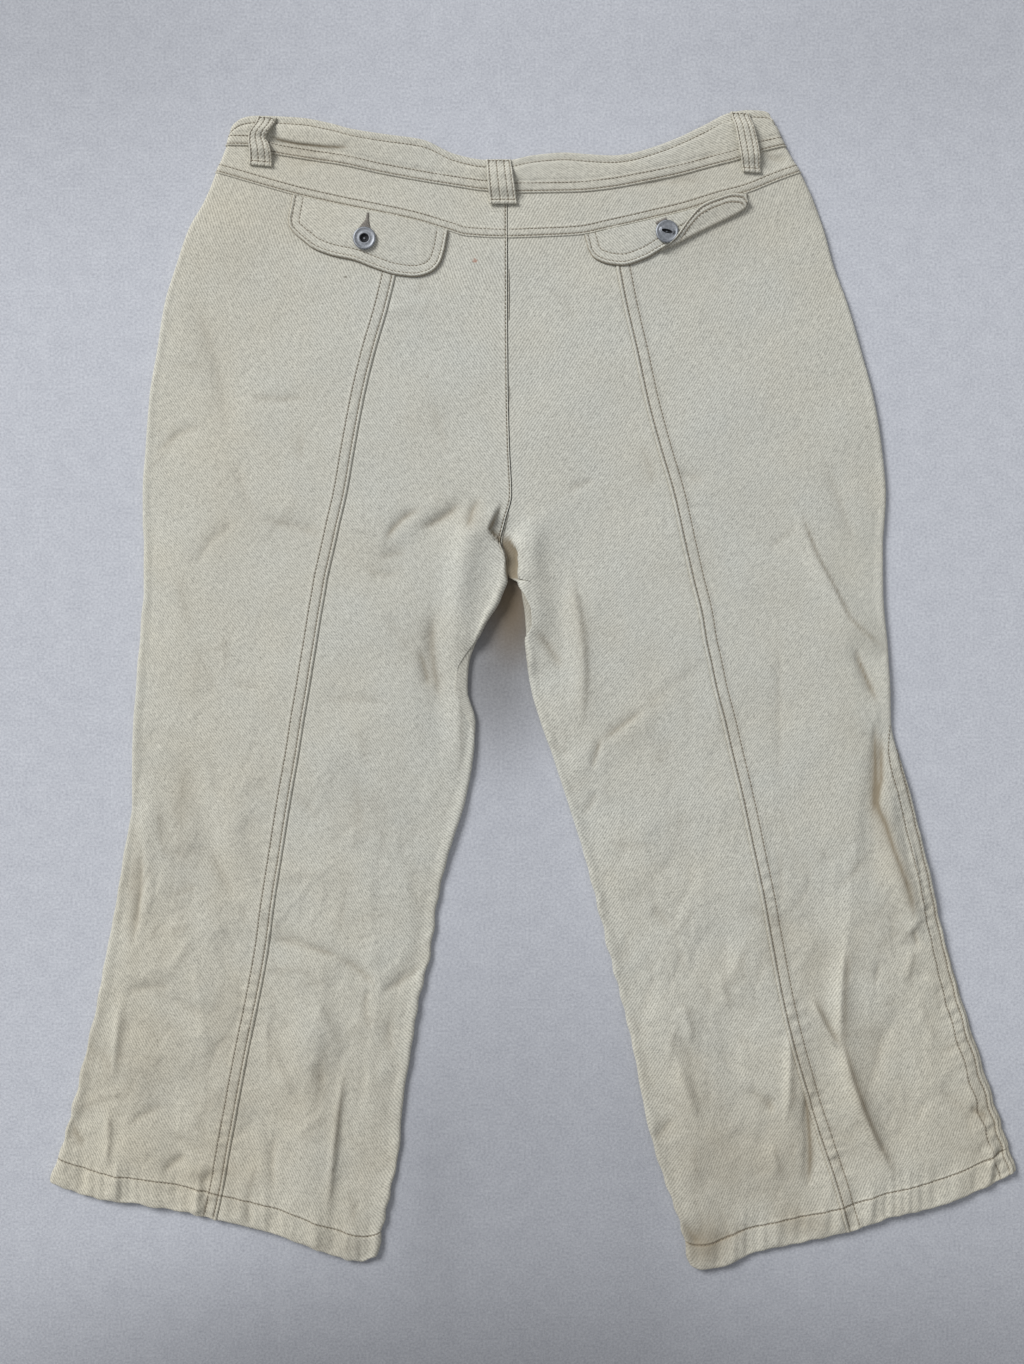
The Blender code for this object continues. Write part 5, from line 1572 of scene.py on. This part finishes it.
class Nodes:
    """The nodes of one material, and short ways to add the kinds that it needs."""

    def __init__(self, tree):
        self.tree = tree
        self.place = self.add("TexCoord").outputs["Object"]

    def fill(self, node, inputs):
        """Set a node's inputs to values, or link them to other nodes' sockets."""
        for name, value in inputs.items():
            if isinstance(value, bpy.types.NodeSocket):
                self.tree.links.new(value, node.inputs[name])
            else:
                node.inputs[name].default_value = value

    def add(self, kind, inputs=None, **settings):
        """A new node with its settings and its inputs."""
        made = self.tree.nodes.new("ShaderNode" + kind)
        for name, value in settings.items():
            setattr(made, name, value)
        self.fill(made, inputs or {})
        return made

    def noise(self, vector, size_mm, detail=2.0, rough=0.5):
        """Cloudy noise whose largest features have this size."""
        return self.add("TexNoise", {"Vector": vector, "Scale": 1.0 / (size_mm * MM),
                                     "Detail": detail, "Roughness": rough}).outputs["Fac"]

    def total(self, *parts):
        """The sum of (value, weight) parts."""
        weighed = [self.add("Math", {0: value, 1: weight}, operation="MULTIPLY").outputs[0]
                   for value, weight in parts]
        while len(weighed) > 1:
            both = {0: weighed.pop(0), 1: weighed.pop(0)}
            weighed.insert(0, self.add("Math", both, operation="ADD").outputs[0])
        return weighed[0]

    def ranged(self, value, start, end, low=0.0, high=1.0, **settings):
        """`low` where the value is at `start`, `high` where it is at `end`."""
        return self.add("MapRange", {"Value": value, "From Min": start, "From Max": end,
                                     "To Min": low, "To Max": high},
                        **settings).outputs["Result"]

    def blend(self, share, first, second, way="MIX"):
        """Two colours, mixed by a share."""
        return self.add("Mix", {0: share, 6: first, 7: second}, data_type="RGBA",
                        blend_type=way).outputs[2]

    def ramp(self, factor, stops):
        """A colour ramp from a list of (place, hex colour)."""
        made = self.add("ValToRGB", {"Fac": factor})
        for point, (place, code) in zip(made.color_ramp.elements, stops):
            point.position = place
            point.color = linear(code)
        return made.outputs["Color"]

    def bump(self, height, strength, depth_mm):
        """A normal tilted by a height."""
        return self.add("Bump", {"Height": height, "Strength": strength,
                                 "Distance": depth_mm * MM}).outputs["Normal"]


def twill(nodes):
    """Linen and cotton twill, piece-dyed cream and washed: a dry, soft face with a fine
    diagonal, slubs both ways, and painted shade and wear in grey brown along its creases,
    hollows and seams. The weave is on the cloth's own coordinates, in metres."""
    colours = bpy.context.scene.capri_colours
    cloth = nodes.add("UVMap", uv_map="cloth").outputs["UV"]
    place, slim = nodes.place, SLUB_MM[0] / SLUB_MM[1]
    warp, weft = (
        nodes.noise(nodes.add("Mapping", {"Vector": cloth, "Scale": scale}).outputs["Vector"],
                    SLUB_MM[0], 3.0, 0.6)
        for scale in ((1.0, slim, 1.0), (slim, 1.0, 1.0)))
    diagonal = nodes.add("TexWave", {"Vector": cloth, "Distortion": 2.2, "Detail": 2.0,
                                     "Scale": 2 * np.pi / (14.14 * TWILL_MM * MM),
                                     "Detail Scale": 1.5},
                         wave_type="BANDS", bands_direction="DIAGONAL").outputs["Fac"]
    speckle = nodes.noise(place, 1.5, 2.0, 0.7)
    weave = nodes.total((warp, 0.5), (weft, 0.5), (diagonal, 0.30), (speckle, 0.5))
    spot = nodes.add("SeparateXYZ", {"Vector": place}).outputs
    warmth = nodes.total((nodes.noise(place, 55.0, 3.0, 0.55), 0.55), *(
        (nodes.ranged(spot[axis], start * MM, end * MM, 0.0, most), 1.0)
        for axis, start, end, most in WARMER))
    tint = nodes.blend(warmth, tuple(colours.cool), tuple(colours.warm))
    blotches = nodes.blend(nodes.noise(place, 16.0), (0.965, 0.965, 0.965, 1.0),
                           (1.035, 1.03, 1.025, 1.0))
    tint = nodes.blend(1.0, tint, blotches, "MULTIPLY")
    tint = nodes.blend(1.0, tint, nodes.ranged(weave, 0.45, 1.1, 0.48, 1.44), "MULTIPLY")
    for x, y, radius, code in MARKS:
        away = nodes.add("VectorMath", {0: place, 1: (x * MM, y * MM, 0.007)},
                         operation="DISTANCE").outputs["Value"]
        away = nodes.total((away, 1.0), (speckle, radius * MM))
        share = nodes.ranged(away, 1.5 * radius * MM, 0.9 * radius * MM)
        tint = nodes.blend(share, tint, linear(code))
    worn = nodes.add("Attribute", attribute_name="worn").outputs["Fac"]
    height = nodes.total((weave, 0.22), (nodes.noise(place, 7.0, 3.0, 0.55), 0.5))
    # Painted shade and wear: the cream is mixed towards the grey brown by the attribute
    return {"Base Color": nodes.blend(nodes.total((worn, 0.55)), tint, tuple(colours.shade_wear)),
            "Normal": nodes.bump(height, 0.7, 1.6), "Roughness": 0.92,
            "Specular IOR Level": 0.25, "Sheen Weight": 0.12, "Sheen Roughness": 0.5}


def cotton_thread(nodes, dark, pale):
    """Core-spun topstitching thread: two plies that catch the light in turn."""
    plies = nodes.noise(nodes.place, 0.9)
    return {"Base Color": nodes.ramp(plies, ((0.3, dark), (0.7, pale))), "Roughness": 0.75}


def aged_zinc(nodes):
    """Cast zinc alloy, tumbled and dulled: a satin grey with darker hollows and scuffs."""
    cloud = nodes.noise(nodes.place, 1.4, 4.0, 0.6)
    return {"Base Color": nodes.ramp(cloud, ((0.25, "7C8086"), (0.75, "B0B4BA"))),
            "Roughness": nodes.ranged(cloud, 0.0, 1.0, 0.42, 0.62), "Metallic": 0.7,
            "Normal": nodes.bump(cloud, 0.25, 0.2)}


def blackened_zinc(nodes):
    """The button's hollow, painted black and matt as the shade of its hole."""
    lint = nodes.noise(nodes.place, 0.7)
    return {"Base Color": nodes.ramp(lint, ((0.3, "141518"), (0.75, "33353A"))),
            "Roughness": 0.7, "Metallic": 0.3}


def felt(nodes):
    """Pale blue-grey wool felt that the garment lies on: short fibres in soft clumps, with
    painted shadows laid over it.
    """
    fibre = nodes.noise(nodes.place, 1.8, 3.0, 0.65)
    both = nodes.total((nodes.noise(nodes.place, 14.0), 0.2), (fibre, 1.0))
    tint = nodes.ramp(both, ((0.4, "BDC0C9"), (0.8, "DEE1E8")))
    # painted shadows, each mixed in by a soft spot
    for x, y, across, down, dark, code in PAINTED_FLOOR_SHADOWS:
        spot = nodes.add("Mapping", {"Vector": nodes.place, "Location": (x * MM, y * MM, 0.0),
                                     "Scale": (across * MM, down * MM, 1.0)},
                         vector_type="TEXTURE").outputs["Vector"]
        away = nodes.add("VectorMath", {0: spot}, operation="LENGTH").outputs["Value"]
        share = nodes.ranged(away, 0.0, 2.0, dark, 0.0, interpolation_type="SMOOTHSTEP")
        tint = nodes.blend(share, tint, linear(code))
    return {"Base Color": tint, "Normal": nodes.bump(fibre, 0.35, 0.8), "Roughness": 0.95}


# Materials: their names, the functions that make them, and colours from dark to pale
FINISHES = {
    "cream_linen_twill": (twill,),
    "taupe_cotton_thread": (cotton_thread, "776E60", "9C9180"),
    "grey_cotton_thread": (cotton_thread, "7C7770", "9E9890"),
    "aged_zinc": (aged_zinc,),
    "blackened_zinc": (blackened_zinc,),
    "blue_grey_felt": (felt,),
}


def finish(name):
    """The material of this name. The first time, its function adds the nodes and gives the
    inputs of the Principled shader."""
    if name in bpy.data.materials:
        return bpy.data.materials[name]
    material = bpy.data.materials.new(name)
    material.use_nodes = True
    build, *colours = FINISHES[name]
    nodes = Nodes(material.node_tree)
    nodes.fill(material.node_tree.nodes["Principled BSDF"], build(nodes, *colours))
    return material


# ---- Settings ----------------------------------------------------------------------------
class CapriClothSettings(bpy.types.PropertyGroup):
    """Sizes of the cloth."""

    thickness: FloatProperty(name="Thickness", description="Thickness of the cloth",
                             default=0.9 * MM, unit="LENGTH")
    step: FloatProperty(name="Step", description="Distance between the points of the cloth",
                        default=2.0 * MM, unit="LENGTH")
    crinkles: IntProperty(name="Crinkles", description="Number of small scattered creases",
                          default=230)


class CapriThreadSettings(bpy.types.PropertyGroup):
    """Sizes of the topstitching."""

    pitch: FloatProperty(name="Pitch", description="From one stitch to the next",
                         default=2.9 * MM, unit="LENGTH")
    length: FloatProperty(name="Length", description="Length of a stitch", default=2.3 * MM,
                          unit="LENGTH")
    width: FloatProperty(name="Width", description="Thickness of the thread",
                         default=0.62 * MM, unit="LENGTH")


class CapriColourSettings(bpy.types.PropertyGroup):
    """Colours of the cloth."""

    cool: FloatVectorProperty(name="Cool cream", description="The cloth's cooler tone", size=4,
                              default=linear("C1C3BD"), subtype="COLOR", min=0.0, max=1.0)
    warm: FloatVectorProperty(name="Warm cream", description="The cloth's warmer tone", size=4,
                              default=linear("C6BFAB"), subtype="COLOR", min=0.0, max=1.0)
    # The grey brown that painted shade and wear mix the cream towards
    shade_wear: FloatVectorProperty(name="Wear", description="The grey brown of worn creases",
                              size=4, default=linear("8E826D"), subtype="COLOR", min=0.0,
                              max=1.0)


class CapriStageSettings(bpy.types.PropertyGroup):
    """The camera and the lights."""

    height: FloatProperty(name="Camera height", description="Camera above the floor",
                          default=1.0, unit="LENGTH")
    ambient: FloatProperty(name="Ambient", description="Strength of the light from all round",
                           default=0.28)
    key: FloatProperty(name="Key", description="Power of the main light", default=548.0,
                       unit="POWER")
    fill: FloatProperty(name="Fill", description="Power of the second light", default=18.0,
                        unit="POWER")


# ---- Operators ---------------------------------------------------------------------------
class CAPRI_OT_legs(bpy.types.Operator):
    """Make the four back leg panels and the two front ones"""

    bl_idname = "capri.legs"
    bl_label = "Leg panels"

    def execute(self, context):
        for half in HALVES:
            front_panel(half)
            outer_panel(half)
            inner_panel(half)
        return {"FINISHED"}


class CAPRI_OT_waist(bpy.types.Operator):
    """Make the yokes, the waistbands and the belt loops"""

    bl_idname = "capri.waist"
    bl_label = "Yoke, waistband and belt loops"

    def execute(self, context):
        for half in HALVES:
            yoke(half)
        waistband_front()
        waistband_back()
        for row in LOOPS:
            belt_loop(row)
        return {"FINISHED"}


class CAPRI_OT_flaps(bpy.types.Operator):
    """Make the two pocket flaps"""

    bl_idname = "capri.flaps"
    bl_label = "Pocket flaps"

    def execute(self, context):
        for half, held in (("left", "laid"), ("right", "folded")):
            part = "pocket_flap_"
            piece = sheet_object(part + half + "_cloth", *flap(half))
            if half == "right":
                join_pieces(piece, sheet_object("flap_corner", *turned_corner()))
            cloth_finish(piece, part + half,
                         CUT_AREAS[part])
        return {"FINISHED"}


class CAPRI_OT_buttons(bpy.types.Operator):
    """Make the two metal buttons on the flaps"""

    bl_idname = "capri.buttons"
    bl_label = "Buttons"

    def execute(self, context):
        for node, *place in BUTTONS:
            points, faces, black = button(*place)
            ring = mesh_object(node + "_ring", points, faces)
            wear_finish(ring, node, "aged_zinc")
            # the hollow painted black, as the shade of the hole
            ring.data.materials.append(finish("blackened_zinc"))
            ring.data.polygons.foreach_set("material_index", black.astype(np.int32))
        return {"FINISHED"}


class CAPRI_OT_stitching(bpy.types.Operator):
    """Sew the rows of topstitching and the buttonholes"""

    bl_idname = "capri.stitching"
    bl_label = "Topstitching"

    def execute(self, context):
        for half in HALVES:
            for rows in (leg_stitches, hem_stitches, waist_stitches):
                rows(Leg(half))
        centre_and_side_stitches()
        for row in LOOPS:
            loop_stitches(row)
        for half in HALVES:
            flap_stitches(half)
        buttonholes()
        return {"FINISHED"}


class CAPRI_OT_stage(bpy.types.Operator):
    """Lay the floor, and set the lights and the camera"""

    bl_idname = "capri.stage"
    bl_label = "Floor, lights and camera"

    def execute(self, context):
        stage = context.scene.capri_stage
        bpy.ops.mesh.primitive_plane_add(size=FLOOR_SIZE, location=(0.0, 0.0, FLOOR_Z))
        floor = context.object
        floor.name = "floor"
        floor.data.materials.append(finish("blue_grey_felt"))
        world = bpy.data.worlds.new("soft_room")
        world.use_nodes = True
        shade = world.node_tree.nodes["Background"]
        shade.inputs["Color"].default_value = linear(ROOM_LIGHT)
        shade.inputs["Strength"].default_value = stage.ambient
        context.scene.world = world
        for name, place, width in LAMPS:
            lamp = bpy.data.lights.new(name, "AREA")
            lamp.shape = "DISK"
            lamp.size = width
            lamp.energy = getattr(stage, name)
            holder = bpy.data.objects.new(name, lamp)
            holder.location = place
            holder.rotation_euler = (-Vector(place)).to_track_quat("-Z", "Y").to_euler()
            context.scene.collection.objects.link(holder)
        eye = bpy.data.cameras.new("camera")
        eye.lens = LENS
        eye.sensor_width = SENSOR
        holder = bpy.data.objects.new("camera", eye)
        holder.location = (*CAMERA_AT, stage.height)
        context.scene.collection.objects.link(holder)
        context.scene.camera = holder
        context.scene.view_settings.view_transform = "Standard"
        return {"FINISHED"}


class CAPRI_PT_panel(bpy.types.Panel):
    """Lists the steps that make the garment"""

    bl_label = "Capri Pants"
    bl_idname = "CAPRI_PT_panel"
    bl_space_type = "VIEW_3D"
    bl_region_type = "UI"
    bl_category = "Capri Pants"

    def draw(self, context):
        for group in SETTINGS:
            settings = getattr(context.scene, group)
            for name in settings.bl_rna.properties.keys():
                if name not in ("rna_type", "name"):
                    self.layout.prop(settings, name)
        for step in STEPS:
            self.layout.operator(step.bl_idname)


SETTINGS = {"capri_cloth": CapriClothSettings, "capri_thread": CapriThreadSettings,
            "capri_colours": CapriColourSettings, "capri_stage": CapriStageSettings}
STEPS = (CAPRI_OT_stage, CAPRI_OT_legs, CAPRI_OT_waist, CAPRI_OT_flaps, CAPRI_OT_buttons,
         CAPRI_OT_stitching)


def register():
    for made in (*SETTINGS.values(), *STEPS, CAPRI_PT_panel):
        bpy.utils.register_class(made)
    for name, made in SETTINGS.items():
        setattr(bpy.types.Scene, name, PointerProperty(type=made))


def unregister():
    for name in SETTINGS:
        delattr(bpy.types.Scene, name)
    for made in (CAPRI_PT_panel, *reversed(STEPS), *reversed(SETTINGS.values())):
        bpy.utils.unregister_class(made)


def main():
    """Make everything in order."""
    register()
    bpy.ops.capri.stage()
    bpy.ops.capri.legs()
    bpy.ops.capri.waist()
    bpy.ops.capri.flaps()
    bpy.ops.capri.buttons()
    bpy.ops.capri.stitching()


if __name__ == "__main__":
    main()
